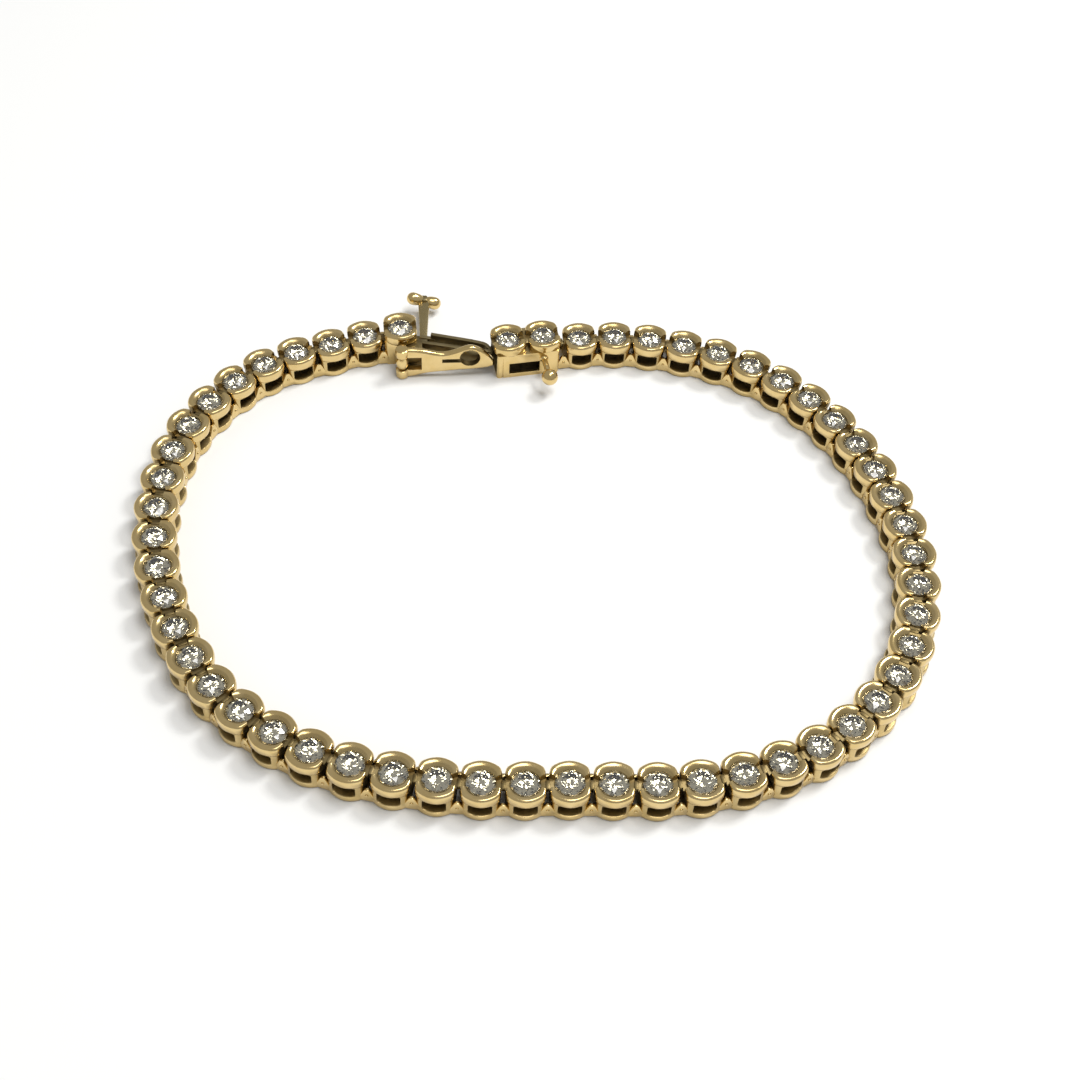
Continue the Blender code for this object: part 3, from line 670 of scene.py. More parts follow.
def make_prism(outline, low, high, bevel, painted_shade, segments=2):
    """A plan outline raised between two heights, with rounded edges."""
    bm = bmesh.new()
    base = [bm.verts.new((x, y, low)) for x, y in outline]
    face = bm.faces.new(base)
    grown = bmesh.ops.extrude_face_region(bm, geom=[face])
    raised = [item for item in grown["geom"] if isinstance(item, bmesh.types.BMVert)]
    bmesh.ops.translate(bm, verts=raised, vec=(0, 0, high - low))
    bmesh.ops.recalc_face_normals(bm, faces=bm.faces)
    sharp = [e for e in bm.edges if e.calc_face_angle(0.0) > math.radians(EDGE_ANGLE)]
    bmesh.ops.bevel(bm, geom=sharp, offset=bevel, segments=segments, profile=0.5, affect="EDGES",
                    clamp_overlap=True)
    return from_bmesh(bm, painted_shade)


def rectangle(x_low, x_high, y_low, y_high, chamfer=0.0):
    """A rectangle's corners, or eight points where its corners are cut."""
    if not chamfer:
        return [(x_low, y_low), (x_high, y_low), (x_high, y_high), (x_low, y_high)]
    return [
        (x_low + chamfer, y_low), (x_high - chamfer, y_low), (x_high, y_low + chamfer),
        (x_high, y_high - chamfer), (x_high - chamfer, y_high), (x_low + chamfer, y_high),
        (x_low, y_high - chamfer), (x_low, y_low + chamfer),
    ]


def sharp_box(x_low, x_high, y_low, y_high, low, high, chamfer=0.0):
    """A box between two heights, its edges left for a cut to round."""
    return make_prism(rectangle(x_low, x_high, y_low, y_high, chamfer), low, high, *CUT_BEVEL_SHADE)


def circle(radius, z, count, start=0.0):
    """Points spread evenly round the axis."""
    angles = [start + math.tau * k / count for k in range(count)]
    return [(radius * math.cos(angle), radius * math.sin(angle), z) for angle in angles]


def make_turned(profile, sides):
    """A profile of (radius, height) turned about Z. Its ends lie on the axis."""
    shell = Shell()
    rings = [shell.ring(circle(radius, height, sides)) for radius, height in profile[1:-1]]
    shell.stack(rings)
    shell.cap(rings[0], (0, 0, profile[0][1]))
    shell.cap(rings[-1], (0, 0, profile[-1][1]))
    return shell


def make_lug():
    """What joins two links: a bar between the stones, and a pinned gusset on each side."""
    shell = Shell()
    bar = make_block(BAR_HALF, *BAR_BEVEL_SHADE)
    shell.add(bar, shift(0, 0, BAR_TOP - BAR_HALF[2]))
    shoulder = GUSSET_FOOT + GUSSET_CORNER
    outline = [
        (-GUSSET_HALF, GUSSET_FOOT), (GUSSET_HALF, GUSSET_FOOT), (GUSSET_HALF, shoulder),
        (GUSSET_CORNER, GUSSET_APEX), (-GUSSET_CORNER, GUSSET_APEX), (-GUSSET_HALF, shoulder),
    ]
    plate = make_prism(outline, -GUSSET_THICKNESS / 2, GUSSET_THICKNESS / 2, *GUSSET_BEVEL_SHADE)
    radius = GUSSET_PIN_RADIUS
    profile = [(0.0, -GUSSET_PIN_ROOT), (radius, -GUSSET_PIN_ROOT)]
    profile += [(radius * across, radius * rise) for across, rise in PIN_DOME]
    pin = make_turned(profile, PIN_SIDES)
    upright = turn(90, "X")
    for side in (1, -1):
        facing = turn(90 + 90 * side, "Z")
        shell.add(plate, shift(0, side * GUSSET_OFFSET, 0) @ upright)
        face = shift(0, side * (GUSSET_OFFSET + GUSSET_THICKNESS / 2), GUSSET_PIN_HEIGHT)
        shell.add(pin, face @ facing @ upright)
    return shell


def make_stone():
    """A round brilliant, closed, with its crest-level origin at z = 0."""
    shell = Shell()
    table_radius = STONE_RADIUS * TABLE_SHARE
    table_z = -TABLE_DEPTH
    girdle_z = -GIRDLE_DEPTH
    slope = (girdle_z - table_z) / (STONE_RADIUS - table_radius)
    eighth = math.tau / 8
    reach = table_radius + (STONE_RADIUS - table_radius) * STAR_SHARE
    star_radius = reach / math.cos(eighth / 2)
    table = shell.ring(circle(table_radius, table_z, 8, 0.0))
    stars = shell.ring(circle(star_radius, table_z + slope * (reach - table_radius), 8, eighth / 2))
    upper = shell.ring(circle(STONE_RADIUS, girdle_z, 16, 0.0))
    lower = shell.ring(circle(STONE_RADIUS, girdle_z - GIRDLE_THICKNESS, 16, 0.0))
    depth = PAVILION_DEPTH * STONE_RADIUS
    culet_z = girdle_z - GIRDLE_THICKNESS - depth
    tip_radius = STONE_RADIUS * LOWER_TIP_SHARE
    tip_z = culet_z + depth * tip_radius * math.cos(eighth / 2) / STONE_RADIUS
    tips = shell.ring(circle(tip_radius, tip_z, 8, eighth / 2))
    culet = shell.ring([(0, 0, culet_z)])[0]
    shell.faces.append(tuple(table))
    for k in range(8):
        after = (k + 1) % 8
        g, mid, g_next = 2 * k, 2 * k + 1, (2 * k + 2) % 16
        shell.faces.append((table[after], table[k], stars[k]))
        shell.faces.append((table[k], stars[k - 1], upper[g], stars[k]))
        shell.faces.append((stars[k], upper[g], upper[mid]))
        shell.faces.append((stars[k], upper[mid], upper[g_next]))
        shell.faces.append((tips[k], lower[mid], lower[g]))
        shell.faces.append((tips[k], lower[g_next], lower[mid]))
        shell.faces.append((culet, tips[k], lower[g], tips[k - 1]))
    shell.bridge(upper, lower)
    return shell


def new_mesh(name, points, faces):
    """A mesh whose faces all look outwards."""
    mesh = bpy.data.meshes.new(name)
    mesh.from_pydata(points, [], faces)
    bm = bmesh.new()
    bm.from_mesh(mesh)
    bmesh.ops.recalc_face_normals(bm, faces=bm.faces)
    bm.to_mesh(mesh)
    bm.free()
    return mesh


def new_object(name, data):
    """An object in the scene."""
    item = bpy.data.objects.new(name, data)
    bpy.context.scene.collection.objects.link(item)
    return item


def build(name, shell, material, body, nodes=(), faceted=False):
    """Makes one piece of a shell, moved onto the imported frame."""
    points = (np.array(shell.points) + np.array(SHIFT)) * MM
    mesh = new_mesh(name, [tuple(p) for p in points], shell.faces)
    # the points' painted shade, read by the gold material
    attribute = mesh.attributes.new("painted_shade", "FLOAT", "POINT")
    attribute.data.foreach_set("value", shell.painted_shade)
    mesh.materials.append(material)
    if not faceted:
        mesh.shade_smooth()
        mesh.set_sharp_from_angle(angle=math.radians(SMOOTH_ANGLE))
    item = new_object(name, mesh)
    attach(item, body)
    if nodes:
        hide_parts(*nodes)


def cut_and_round(base, cutters, bevel):
    """Cuts shells out of a shell with exact Booleans and rounds what is left."""
    made = []
    for number, shell in enumerate([base] + cutters):
        name = f"work_{number}"
        made.append(new_object(name, new_mesh(name, shell.points, shell.faces)))
    for cutter in made[1:]:
        cut = made[0].modifiers.new(cutter.name, "BOOLEAN")
        cut.operation = "DIFFERENCE"
        cut.solver = "EXACT"
        cut.object = cutter
    rounding = made[0].modifiers.new("rounding", "BEVEL")
    rounding.width = bevel
    rounding.segments = 3
    rounding.limit_method = "ANGLE"
    rounding.angle_limit = math.radians(CUT_EDGE_ANGLE)
    bpy.context.view_layer.update()
    evaluated = made[0].evaluated_get(bpy.context.evaluated_depsgraph_get())
    bm = bmesh.new()
    bm.from_mesh(evaluated.to_mesh())
    shell = from_bmesh(bm)
    for item in made:
        bpy.data.objects.remove(item, do_unlink=True)
    return shell


def shade_recess(shell, test, value):
    """Sets the painted shade of the points that the test picks."""
    shell.painted_shade = [value if test(*p) else r for p, r in zip(shell.points, shell.painted_shade)]


class Surface:
    """A material's nodes, with short ways to add what the materials share."""

    def __init__(self, name):
        self.material = bpy.data.materials.new(name)
        self.material.use_nodes = True
        self.nodes = self.material.node_tree.nodes
        self.links = self.material.node_tree.links
        self.shader = self.nodes["Principled BSDF"]

    def feed(self, socket, output):
        """Links an output to the shader."""
        self.links.new(output, self.shader.inputs[socket])

    def noise(self, scale, detail=2.0, grain=0.5):
        """A cloudy value in the object's own metres."""
        texture = self.nodes.new("ShaderNodeTexNoise")
        texture.inputs["Scale"].default_value = scale
        texture.inputs["Detail"].default_value = detail
        texture.inputs["Roughness"].default_value = grain
        coordinates = self.nodes.new("ShaderNodeTexCoord")
        self.links.new(coordinates.outputs["Object"], texture.inputs["Vector"])
        return texture.outputs["Fac"]

    def mapped(self, value, source, target):
        """A value taken from one range to another."""
        node = self.nodes.new("ShaderNodeMapRange")
        for socket, number in zip(("From Min", "From Max", "To Min", "To Max"), source + target):
            node.inputs[socket].default_value = number
        self.links.new(value, node.inputs["Value"])
        return node.outputs["Result"]

    def combined(self, operation, first, second):
        """Two values added or multiplied."""
        node = self.nodes.new("ShaderNodeMath")
        node.operation = operation
        self.links.new(first, node.inputs[0])
        self.links.new(second, node.inputs[1])
        return node.outputs["Value"]

    def blended(self, factor, low, high):
        """A colour between two. The first may be a node's output."""
        node = self.nodes.new("ShaderNodeMix")
        node.data_type = "RGBA"
        node.inputs["B"].default_value = (*high, 1.0)
        if isinstance(low, tuple):
            node.inputs["A"].default_value = (*low, 1.0)
        else:
            self.links.new(low, node.inputs["A"])
        self.links.new(factor, node.inputs["Factor"])
        return node.outputs["Result"]


def gold_material(name, colour, shade_colour, roughness, shade_strength):
    """Polished gold with fine wear, soft tarnish and painted shade in its recesses."""
    surface = Surface(name)
    surface.shader.inputs["Metallic"].default_value = 1.0
    painted_shade_node = surface.nodes.new("ShaderNodeAttribute")
    painted_shade_node.attribute_name = "painted_shade"
    painted_shade = painted_shade_node.outputs["Fac"]
    cloud = surface.noise(CLOUD_SCALE, CLOUD_DETAIL, GOLD_GRAIN)
    tarnished = tuple(channel * share for channel, share in zip(colour, TARNISH))
    tone = surface.blended(surface.mapped(cloud, TARNISH_RANGE, (0.0, 1.0)), colour, tarnished)
    # Painted shade: the colour goes towards the shade colour by the points' shade value, unevenly through
    # the cloud noise
    uneven_shade = surface.mapped(cloud, CLOUD_RANGE, (shade_strength * SHADE_LEAST, shade_strength))
    shade_mix = surface.combined("MULTIPLY", painted_shade, uneven_shade)
    surface.feed("Base Color", surface.blended(shade_mix, tone, shade_colour))
    fine = surface.noise(WEAR_SCALE, FINE_DETAIL, GOLD_GRAIN)
    wear = surface.mapped(fine, CLOUD_RANGE, (roughness * WEAR_LEAST, roughness * WEAR_MOST))
    dull = surface.mapped(painted_shade, (0.0, 1.0), (0.0, RECESS_ROUGHNESS))
    surface.feed("Roughness", surface.combined("ADD", wear, dull))
    bump = surface.nodes.new("ShaderNodeBump")
    bump.inputs["Strength"].default_value = DENT_STRENGTH
    bump.inputs["Distance"].default_value = DENT_DISTANCE
    surface.links.new(surface.noise(DENT_SCALE, FINE_DETAIL, GOLD_GRAIN), bump.inputs["Height"])
    surface.feed("Normal", bump.outputs["Normal"])
    return surface.material


def stone_material():
    """Clear stone with a faint variation of tone."""
    surface = Surface("clear_stone")
    surface.shader.inputs["Roughness"].default_value = 0.0
    surface.shader.inputs["IOR"].default_value = STONE_IOR
    surface.shader.inputs["Transmission Weight"].default_value = 1.0
    surface.feed("Base Color", surface.blended(surface.noise(STONE_SCALE), *STONE_TINTS))
    return surface.material


def floor_material():
    """White sweep with the faintest variation."""
    surface = Surface("white_sweep")
    surface.shader.inputs["Roughness"].default_value = FLOOR_ROUGHNESS
    texture = surface.nodes.new("ShaderNodeTexNoise")
    texture.inputs["Scale"].default_value = FLOOR_SCALE
    surface.feed("Base Color", surface.blended(texture.outputs["Fac"], *FLOOR_TINTS))
    return surface.material


# Places, as in the part's source
places = link_places(LINKS_LEFT + LINKS_RIGHT)
box_along = direction(BOX_TURN)
tongue_along = direction(TONGUE_TURN)
box_end = places[-1] - box_along * (PITCH + BOX_SLACK)
box_centre = box_end - box_along * PITCH / 2
end_link = places[0] + tongue_along * PITCH
box_frame = place(box_centre.x, box_centre.y, BOX_TURN)
tongue_frame = place(end_link.x, end_link.y, TONGUE_TURN)
mouth = -BOX_HALF - TIP_CLEARANCE
tongue_tip = box_frame @ Vector((mouth, -TONGUE_TIP_SHIFT, 0.0))
spring = tongue_tip.to_2d() - end_link
spring_frame = place(end_link.x, end_link.y, heading(spring))
hinge_local = Vector((-HINGE_BACK, -END_LINK_WIDTH / 2 - HINGE_REACH, 0.0))
hinge = tongue_frame @ hinge_local
latch_line = box_frame @ Vector((mouth, -LATCH_TIP_SHIFT, 0.0)) - hinge
SHIFT = Vector(frame["joints"][0]["pos_m"]) / MM - hinge

line = [end_link] + places + [box_end]
link_frames = []
for back, here, front in zip(line, line[1:], line[2:]):
    link_frames.append(place(here.x, here.y, heading(front - back)))
joint_frames = []
for back, front in zip(line, line[1:]):
    middle = (back + front) / 2
    joint_frames.append(place(middle.x, middle.y, heading(front - back)))


def stone_turn(number):
    """How a stone is turned and leaned in its seat, different for each."""
    spin = turn(number * STONE_SPIN, "Z")
    lean_x = STONE_LEAN * math.sin(number * LEAN_STEPS[0])
    lean_y = STONE_LEAN * math.cos(number * LEAN_STEPS[1])
    return turn(lean_x, "X") @ turn(lean_y, "Y") @ spin


def build_chain(name, numbers, node):
    """Metal and stones of a run of links, with the lug that comes before each link."""
    metal = Shell()
    stones = Shell()
    for number in numbers:
        at = link_frames[number]
        metal.add(link, at)
        metal.add(lug, joint_frames[number])
        stones.add(stone, at @ shift(0, 0, LINK_HEIGHT) @ stone_turn(number))
    if numbers[-1] == len(places) - 1:
        metal.add(lug, joint_frames[-1])
    build(f"{name}_links", metal, gold, "bracelet", [node])
    build(f"{name}_stones", stones, clear, "bracelet", faceted=True)


def make_clasp_head():
    """A head that stands on the box or the end link, with a short neck below its band."""
    shell = Shell()
    neck_plan = inset_plan(NECK_INSET)
    neck = shell.ring([(x, y, CLASP_HEIGHT - NECK_DROP) for x, y in neck_plan], DARK)
    add_head(shell, CLASP_HEIGHT, neck)
    return shell


def make_cup_cutter(x):
    """The room under a clasp head's stone, as a closed cone a hair wider than the cup."""
    radius = SEAT_RADIUS * CUP_SHARE + CUTTER_GAP
    profile = [(0.0, -CUP_DEPTH - 2 * CUTTER_GAP), (CUTTER_GAP, -CUP_DEPTH - 1.5 * CUTTER_GAP)]
    profile += [(radius, -CUTTER_RIM_DEPTH), (radius, CUTTER_TOP), (0.0, CUTTER_TOP)]
    return moved(make_turned(profile, CUTTER_SIDES), shift(x, 0, CLASP_HEIGHT))


def make_box_walls(cones):
    """The hollow box with its side windows and the groove in its front post."""
    side = BOX_SIDE - BOX_INSET
    body = sharp_box(-BOX_HALF, BOX_HALF, -side, side, 0.0, BODY_TOP - BOX_DROP, BOX_WALL / 2)
    side, top = BOX_SIDE - BOX_WALL, BODY_TOP - BOX_WALL
    cavity = sharp_box(-BOX_HALF - BOX_WALL, BOX_HALF - BOX_WALL, -side, side, BOX_FLOOR, top)
    near, far = (x / 2 - WINDOW_OFFSET for x in (-SIDE_WINDOW_LENGTH, SIDE_WINDOW_LENGTH))
    window = sharp_box(near, far, -BOX_WIDTH, BOX_WIDTH, BOX_FLOOR, BOX_FLOOR + SIDE_WINDOW_HEIGHT)
    near, far = (x / 2 - BOX_HALF + POST_GROOVE_OFFSET for x in (-POST_GROOVE, POST_GROOVE))
    groove = sharp_box(near, far, -BOX_SIDE - CUT_MARGIN, -BOX_SIDE + POST_GROOVE_DEPTH,
                       -CUT_MARGIN, BODY_TOP - PLATE_THICKNESS)
    shell = cut_and_round(body, [cavity, window, groove] + cones, BOX_EDGE)
    # Painted shade on the inside of the box
    side = BOX_SIDE - BOX_WALL * INSIDE_SIDE_SHARE
    end = BOX_HALF - BOX_WALL * INSIDE_END_SHARE
    top = BODY_TOP - INSIDE_DROP
    shade_recess(shell, lambda x, y, z: abs(y) < side and x < end and INSIDE_LOW < z < top, DEEP)
    return shell


def make_box_plate(cones):
    """The plate that closes the box's top and carries its two heads."""
    low = BODY_TOP - PLATE_THICKNESS
    plate = sharp_box(-BOX_HALF, BOX_HALF, -BOX_SIDE, BOX_SIDE, low, BODY_TOP, BOX_WALL / 2)
    plate = cut_and_round(plate, cones, PLATE_EDGE)
    # Painted shade on the plate's top, leaving a bright strip along its sides
    flat, side = BODY_TOP - SURFACE_SLACK, BOX_SIDE - PLATE_RIM
    shade_recess(plate, lambda x, y, z: z > flat and abs(y) < side, BOX_PLATE_SHADE)
    return plate


def make_peg():
    """The ball peg, along Z from the box's side wall."""
    ball = PEG_BALL_DIAMETER / 2
    stem = PEG_STEM_DIAMETER / 2
    centre = PEG_STEM_LENGTH + ball
    start = math.asin(stem / ball)
    profile = [(0.0, PEG_FOOT[0][1])] + [(stem * share, reach) for share, reach in PEG_FOOT]
    profile.append((stem, PEG_STEM_LENGTH + PEG_SINK))
    for k in range(1, PEG_BALL_STEPS):
        angle = start + (math.pi - start) * k / PEG_BALL_STEPS
        profile.append((ball * math.sin(angle), centre - ball * math.cos(angle)))
    return make_turned(profile + [(0.0, centre + ball)], EYE_SIDES)


def build_box():
    """The clasp's box with its heads, stones and ball peg."""
    head_places = (-PITCH / 2, PITCH / 2)
    cones = [make_cup_cutter(x) for x in head_places]
    shell = make_box_walls(cones)
    shell.add(make_box_plate(cones))
    stones = Shell()
    for number, x in enumerate(head_places, FIRST_BOX_STONE):
        shell.add(head, shift(x, 0, 0))
        stones.add(stone, shift(x, 0, CLASP_HEIGHT) @ stone_turn(number))
    bar = make_block(BOX_BAR_HALF, *BOX_BAR_BEVEL_SHADE)
    shell.add(bar, shift(0, 0, CLASP_HEIGHT - BOX_BAR_DROP))
    outward = turn(90, "X")
    shell.add(make_peg(), shift(PEG_OFFSET, -BOX_SIDE, PEG_HEIGHT) @ outward)
    build("clasp_box_metal", moved(shell, box_frame), clasp_gold, "bracelet", ["clasp_box"])
    build("clasp_box_stones", moved(stones, box_frame), clear, "bracelet", faceted=True)


def strip_outline(path, thickness):
    """Both edges of a folded strip of even thickness."""
    left, right = [], []
    for k, point in enumerate(path):
        before = path[max(k - 1, 0)]
        after = path[min(k + 1, len(path) - 1)]
        along = (after - before).normalized()
        normal = Vector((-along.y, along.x)) * thickness / 2
        left.append(point + normal)
        right.append(point - normal)
    return [(p.x, p.y) for p in left + right[::-1]]


def make_knuckle():
    """The hinge's knuckle, a barrel on its pin."""
    radius = KNUCKLE_DIAMETER / 2
    pin = PIN_DIAMETER / 2
    profile = [(0.0, KNUCKLE_LOW - PIN_REACH), (pin, KNUCKLE_LOW - PIN_REACH), (pin, KNUCKLE_LOW)]
    for k in range(KNUCKLE_STEPS + 1):
        t = k / KNUCKLE_STEPS
        share = KNUCKLE_END_SHARE + (1 - KNUCKLE_END_SHARE) * math.sin(math.pi * t)
        profile.append((radius * share, KNUCKLE_LOW + (KNUCKLE_HIGH - KNUCKLE_LOW) * t))
    profile += [(pin, KNUCKLE_HIGH), (pin, KNUCKLE_HIGH + PIN_REACH), (0.0, KNUCKLE_HIGH + PIN_REACH)]
    return make_turned(profile, KNUCKLE_SIDES)


def build_end_link():
    """The end link with its head, and the arm, bracket and knuckle that carry the latch."""
    half = END_LINK_LENGTH / 2
    side = END_LINK_WIDTH / 2
    body = sharp_box(-half, half, -side, side, 0.0, BODY_TOP, LINK_GAP)
    metal = cut_and_round(body, [make_cup_cutter(0)], PLATE_EDGE)
    metal.add(head)
    metal = moved(metal, tongue_frame)
    metal.add(make_knuckle(), tongue_frame @ shift(hinge_local.x, hinge_local.y, 0))
    arm_half = KNUCKLE_DIAMETER / 2 * ARM_SHARE
    inner_y = -side + BOX_WALL
    outline = rectangle(hinge_local.x - arm_half, hinge_local.x + arm_half,
                        hinge_local.y + PIN_DIAMETER / 2, inner_y)
    arm = make_prism(outline, KNUCKLE_LOW + HINGE_CLEARANCE, KNUCKLE_HIGH - HINGE_CLEARANCE, *ARM_BEVEL_SHADE)
    metal.add(arm, tongue_frame)
    outline = rectangle(hinge_local.x - arm_half, BRACKET_REACH, hinge_local.y + BRACKET_BACK, inner_y)
    bracket = make_prism(outline, BRACKET_LOW, BRACKET_HIGH, *BRACKET_BEVEL_SHADE)
    metal.add(bracket, tongue_frame)
    build("clasp_tongue_end", metal, clasp_gold, "bracelet", ["clasp_tongue"])


def fold_path():
    """The spring's fold in its own plan."""
    return [Vector((along * spring.length, across * END_LINK_WIDTH)) for _, along, across in TONGUE_FOLD]


def trigger_frame():
    """The frame of the trigger's stem, at the spring's free end."""
    free_end = fold_path()[-1]
    foot = Vector((free_end.x + LEAF_THICKNESS, free_end.y, (SPRING_LOW + SPRING_HIGH) / 2))
    return shift(*(spring_frame @ foot)) @ turn(TRIGGER_TURN, "Z")


def make_spring():
    """The spring's seat in the end link, its folded leaf and the leaf's low free end."""
    seat_start = END_LINK_LENGTH / 2 - BOX_WALL
    seat_side = END_LINK_WIDTH / 2 - BOX_WALL - LEAF_CLEARANCE
    outline = rectangle(seat_start, SEAT_SHARE * spring.length, -seat_side, seat_side)
    shell = make_prism(outline, SPRING_LOW - LEAF_CLEARANCE / 3, SPRING_HIGH - SEAT_DROP, *SEAT_BEVEL_SHADE)
    path = fold_path()
    leaf = strip_outline(catmull_rom(path[:-1], LEAF_STEPS), LEAF_THICKNESS)
    shell.add(make_prism(leaf, SPRING_LOW, SPRING_HIGH, *LEAF_BEVEL_SHADE))
    last_stretch = [path[-2].lerp(path[-3], LEAF_END_SHARE), path[-1]]
    low_end = strip_outline(last_stretch, LEAF_THICKNESS * LEAF_END_THICKENING)
    low, high = SPRING_LOW - LEAF_CLEARANCE / 2, SPRING_HIGH - LEAF_SHOULDER_DROP
    shell.add(make_prism(low_end, low, high, *LEAF_END_BEVEL_SHADE))
    return shell


def build_spring():
    """The spring with the trigger's stem and the hub that holds the trigger's bar."""
    metal = moved(make_spring(), spring_frame)
    half = TRIGGER_THICKNESS / 2
    stem = [(0.0, -TRIGGER_FOOT_WIDTH / 2), (TRIGGER_LENGTH + half, -TRIGGER_HEAD_WIDTH / 2)]
    stem += [(x, -y) for x, y in reversed(stem)]
    metal.add(make_prism(stem, -half, half, *STEM_BEVEL_SHADE), trigger_frame())
    hub = make_block(HUB_HALF, *HUB_BEVEL_SHADE)
    metal.add(hub, trigger_frame() @ shift(TRIGGER_LENGTH, 0, 0))
    build("clasp_spring", metal, shaded_tongue_gold, "bracelet")


def build_trigger_bar():
    """The trigger's bar, two round lobes that narrow to a waist."""
    lobe = TRIGGER_LOBE_DIAMETER / 2
    waist = TRIGGER_WAIST_DIAMETER / 2
    reach = TRIGGER_BAR_LENGTH / 2
    profile = [(0.0, -reach)]
    for k in range(1, LOBE_STEPS + 1):
        angle = math.pi / 2 * k / LOBE_STEPS
        profile.append((lobe * math.sin(angle), -reach + lobe * (1 - math.cos(angle))))
    for k in range(1, WAIST_STEPS + 1):
        ease = math.cos(math.pi / 2 * k / WAIST_STEPS) ** 0.5
        height = (lobe - reach) * (1 - WAIST_SHARE * k / WAIST_STEPS)
        profile.append((waist + (lobe - waist) * ease, height))
    profile += [(radius, -height) for radius, height in reversed(profile)]
    across = turn(90 + TRIGGER_ROLL, "X")
    bar_frame = trigger_frame() @ shift(TRIGGER_LENGTH, 0, 0) @ across
    bar = moved(make_turned(profile, KNUCKLE_SIDES), bar_frame)
    build("clasp_trigger_bar", bar, clasp_gold, "bracelet")


def inset_rim(points, insets):
    """A closed outline in the latch's plane, each point moved inwards by its own distance."""
    drawn = []
    for k, point in enumerate(points):
        along = (points[(k + 1) % len(points)] - points[k - 1]).normalized()
        drawn.append(point + Vector((-along.y, along.x)) * insets[k])
    return drawn


def rounded_rings(points, radii, half):
    """Rings from the flat of a plate's front, over the rounded edge, to the flat of its back."""
    rings = []
    angles = [math.pi / 2 * step / RIM_STEPS for step in range(RIM_STEPS + 1)]
    for side in (-1, 1):
        half_rings = []
        for angle in angles:
            plan = inset_rim(points, [radius * (1 - math.cos(angle)) for radius in radii])
            lifts = [half - radius * (1 - math.sin(angle)) for radius in radii]
            half_rings.append([(p.x, side * lift, p.y) for p, lift in zip(plan, lifts)])
        plan = inset_rim(points, [radius + FLAT_MARGIN for radius in radii])
        half_rings.append([(p.x, side * half, p.y) for p in plan])
        rings += half_rings if side > 0 else half_rings[::-1]
    return rings


def add_plate(shell, rim, rim_radii, hole, hole_radii, half):
    """A plate with a hole, its edges rounded. The metal lies left of both outlines."""
    flats = []
    for points, radii in ((rim, rim_radii), (hole, hole_radii)):
        rings = [shell.ring(ring) for ring in rounded_rings(points, radii, half)]
        shell.stack(rings)
        flats.append((rings[0], rings[-1]))
    bm = bmesh.new()
    edges = []
    for front, _ in flats:
        ring = [bm.verts.new(shell.points[k]) for k in front]
        edges += [bm.edges.new((ring[k - 1], ring[k])) for k in range(len(ring))]
    bm.verts.index_update()
    filled = bmesh.ops.triangle_fill(bm, edges=edges, use_beauty=True)["geom"]
    faces = [[v.index for v in item.verts] for item in filled if isinstance(item, bmesh.types.BMFace)]
    bm.free()
    for side in (0, 1):
        numbers = [k for flat in flats for k in flat[side]]
        shell.faces += [tuple(numbers[v] for v in face) for face in faces]


def latch_outline(length):
    """The latch's edge, out along the underside and back over the top, and its fork."""
    low, high = [], []
    for _, along, under, over in LATCH_PROFILE:
        low.append(Vector((length * along, LATCH_HEIGHT * under + LATCH_LIFT)))
        high.append(Vector((length * along, LATCH_HEIGHT * over + LATCH_LIFT)))
    edge = catmull_rom(low, PROFILE_STEPS) + catmull_rom(high, PROFILE_STEPS)[::-1]
    fork = [(0.0, FORK_HIGH), (FORK_DEPTH, FORK_HIGH), (FORK_DEPTH, FORK_LOW), (0.0, FORK_LOW)]
    return edge, [Vector(point) for point in fork]


def keyhole_outline(centre, slit_end, slit_low, slit_high):
    """A round hole and the slit that runs from it towards the hinge."""
    radius = KEYHOLE_DIAMETER / 2
    first = math.pi - math.asin((slit_low - centre.y) / radius)
    last = math.tau + math.pi - math.asin((slit_high - centre.y) / radius)
    arc = [first + (last - first) * k / KEYHOLE_STEPS for k in range(KEYHOLE_STEPS + 1)]
    outline = [centre + Vector((math.cos(angle), math.sin(angle))) * radius for angle in arc]
    return outline + [Vector((slit_end, slit_high)), Vector((slit_end, slit_low))]


def make_latch_plate():
    """The latch's plate with its keyhole and fork, their walls painted with shade."""
    length = latch_line.length
    edge, fork = latch_outline(length)
    radius = KEYHOLE_DIAMETER / 2
    centre = Vector((length * KEYHOLE_SHARE, LATCH_LIFT + LATCH_HEIGHT * KEYHOLE_RISE))
    slit_high = centre.y - SLIT_DROP + SLIT_WIDTH / 2
    slit_low = slit_high - SLIT_WIDTH
    slit_end = centre.x - radius - SLIT_LENGTH
    keyhole = keyhole_outline(centre, slit_end, slit_low, slit_high)
    shell = Shell()
    add_plate(shell, edge + fork, [LATCH_RIM] * len(edge) + [SLOT_RIM] * len(fork),
              keyhole[::-1], [SLOT_RIM] * len(keyhole), LATCH_THICKNESS / 2)

    def in_keyhole(x, y, z):
        return (Vector((x, z)) - centre).length < radius + HOLE_MARGIN and abs(y) < CUT_WALL_HALF

    def in_slit(x, y, z):
        return slit_low - SLIT_MARGIN < z < slit_high + SLIT_MARGIN and slit_end - SLIT_MARGIN < x < centre.x

    def in_fork(x, y, z):
        off_middle = abs(z - (FORK_LOW + FORK_HIGH) / 2)
        return abs(x - FORK_DEPTH) < FORK_MARGIN and off_middle < FORK_HALF and abs(y) < CUT_WALL_HALF

    for test, shade in ((in_keyhole, DEEP), (in_slit, DEEP), (in_fork, FORK_END_SHADE)):
        shade_recess(shell, test, shade)
    return shell


def build_latch():
    """The latch plate on edge with its two rolled eyes."""
    shell = make_latch_plate()
    eye = EYE_DIAMETER / 2
    for base in (LATCH_LIFT, FORK_HIGH):
        top = base + EYE_HEIGHT
        profile = [(0.0, base)] + [(eye * share, base + inset) for share, inset in EYE_ROUND]
        profile += [(eye * share, top - inset) for share, inset in reversed(EYE_ROUND)] + [(0.0, top)]
        shell.add(make_turned(profile, EYE_SIDES))
    placed = moved(shell, place(hinge.x, hinge.y, heading(latch_line)))
    build("safety_latch_plate", placed, clasp_gold, "safety_latch", ["safety_latch"])


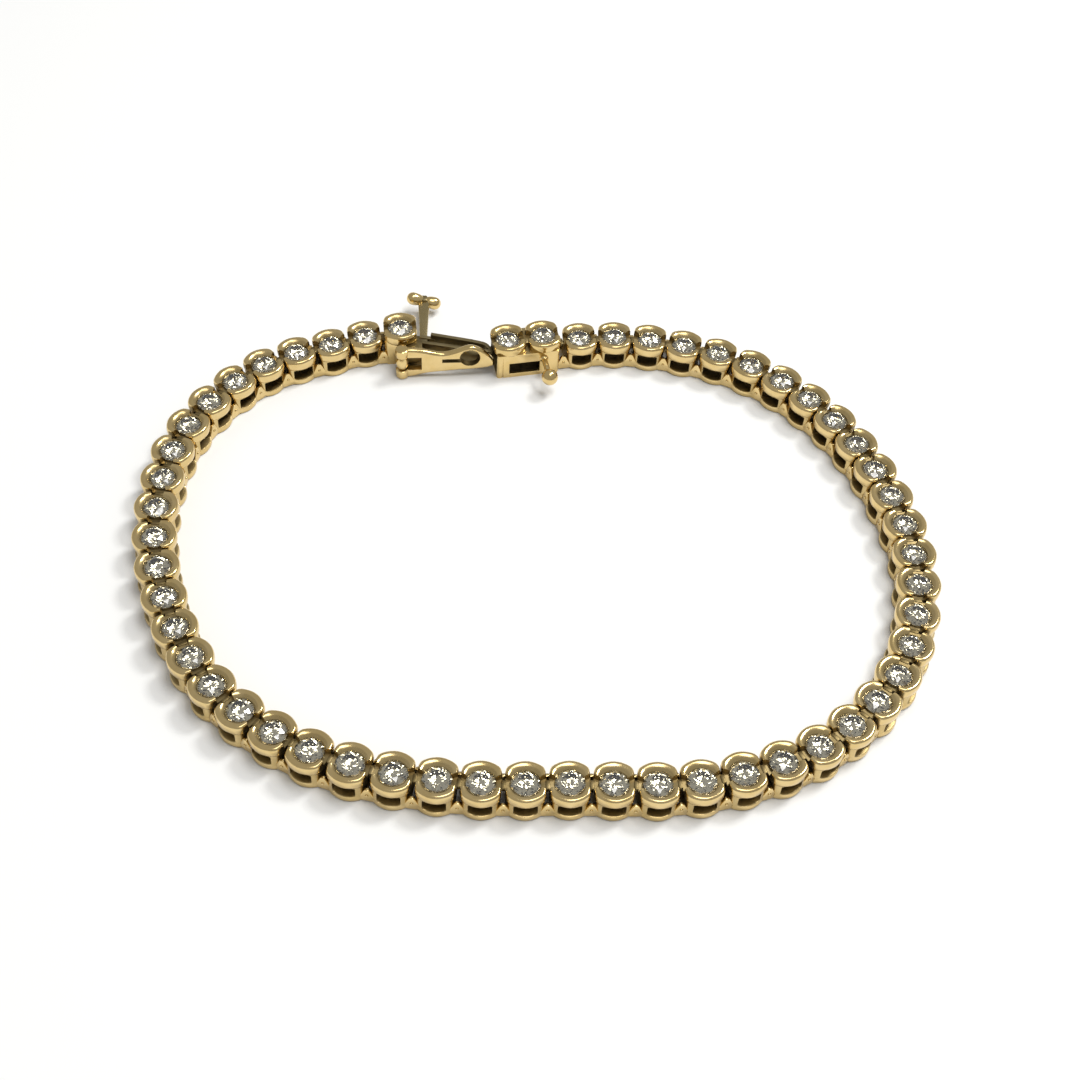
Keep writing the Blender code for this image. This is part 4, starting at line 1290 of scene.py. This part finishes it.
def add_light(name, size, place_at, watts, on_rough, in_polish):
    """A soft rectangular light turned to the origin."""
    light = bpy.data.lights.new(name, "AREA")
    light.shape = "RECTANGLE"
    light.size, light.size_y = size
    light.energy = watts
    item = new_object(name, light)
    item.location = place_at
    item.rotation_euler = (Vector() - Vector(place_at)).to_track_quat("-Z", "Y").to_euler()
    item.visible_diffuse = on_rough
    item.visible_glossy = in_polish


def build_floor():
    """White floor."""
    corners = [(x, y, 0) for x, y in rectangle(-FLOOR_REACH, FLOOR_REACH, -FLOOR_REACH, FLOOR_REACH)]
    mesh = bpy.data.meshes.new("floor")
    mesh.from_pydata(corners, [], [(0, 1, 2, 3)])
    mesh.materials.append(floor_material())
    floor = new_object("floor", mesh)


def build_world():
    """Even white surroundings."""
    world = bpy.data.worlds.new("studio")
    world.use_nodes = True
    background = world.node_tree.nodes["Background"]
    background.inputs["Color"].default_value = (1.0, 1.0, 1.0, 1.0)
    background.inputs["Strength"].default_value = WORLD_STRENGTH
    bpy.context.scene.world = world
    bpy.context.scene.view_settings.view_transform = "Standard"


def build_camera():
    """The camera, placed as for the photograph."""
    lens = bpy.data.cameras.new("camera")
    lens.sensor_width = SENSOR_WIDTH
    lens.lens = SENSOR_WIDTH * CAMERA_FOCUS_PIXELS / PHOTO_PIXELS
    lens.clip_start = MM
    camera = new_object("camera", lens)
    camera.location = (Vector(CAMERA_PLACE) + Vector((SHIFT.x, SHIFT.y, 0.0))) * MM
    tilt = Matrix.Rotation(math.pi / 2 - CAMERA_ELEVATION, 4, "X") @ Matrix.Rotation(CAMERA_ROLL, 4, "Z")
    camera.rotation_euler = tilt.to_euler()
    bpy.context.scene.camera = camera


gold, clasp_gold, shaded_tongue_gold = [gold_material(name, *look) for name, look in GOLD_LOOKS.items()]
clear = stone_material()

link = make_link()
lug = make_lug()
stone = make_stone()
head = make_clasp_head()

build_chain("left", range(LINKS_LEFT), "link_chain_left")
build_chain("right", range(LINKS_LEFT, LINKS_LEFT + LINKS_RIGHT), "link_chain_right")
build_box()
build_end_link()
build_spring()
build_trigger_bar()
end_stone = moved(stone, tongue_frame @ shift(0, 0, CLASP_HEIGHT))
build("clasp_tongue_stone", end_stone, clear, "bracelet", faceted=True)
build_latch()

build_floor()
for settings in LIGHTS:
    add_light(*settings)
build_world()
build_camera()
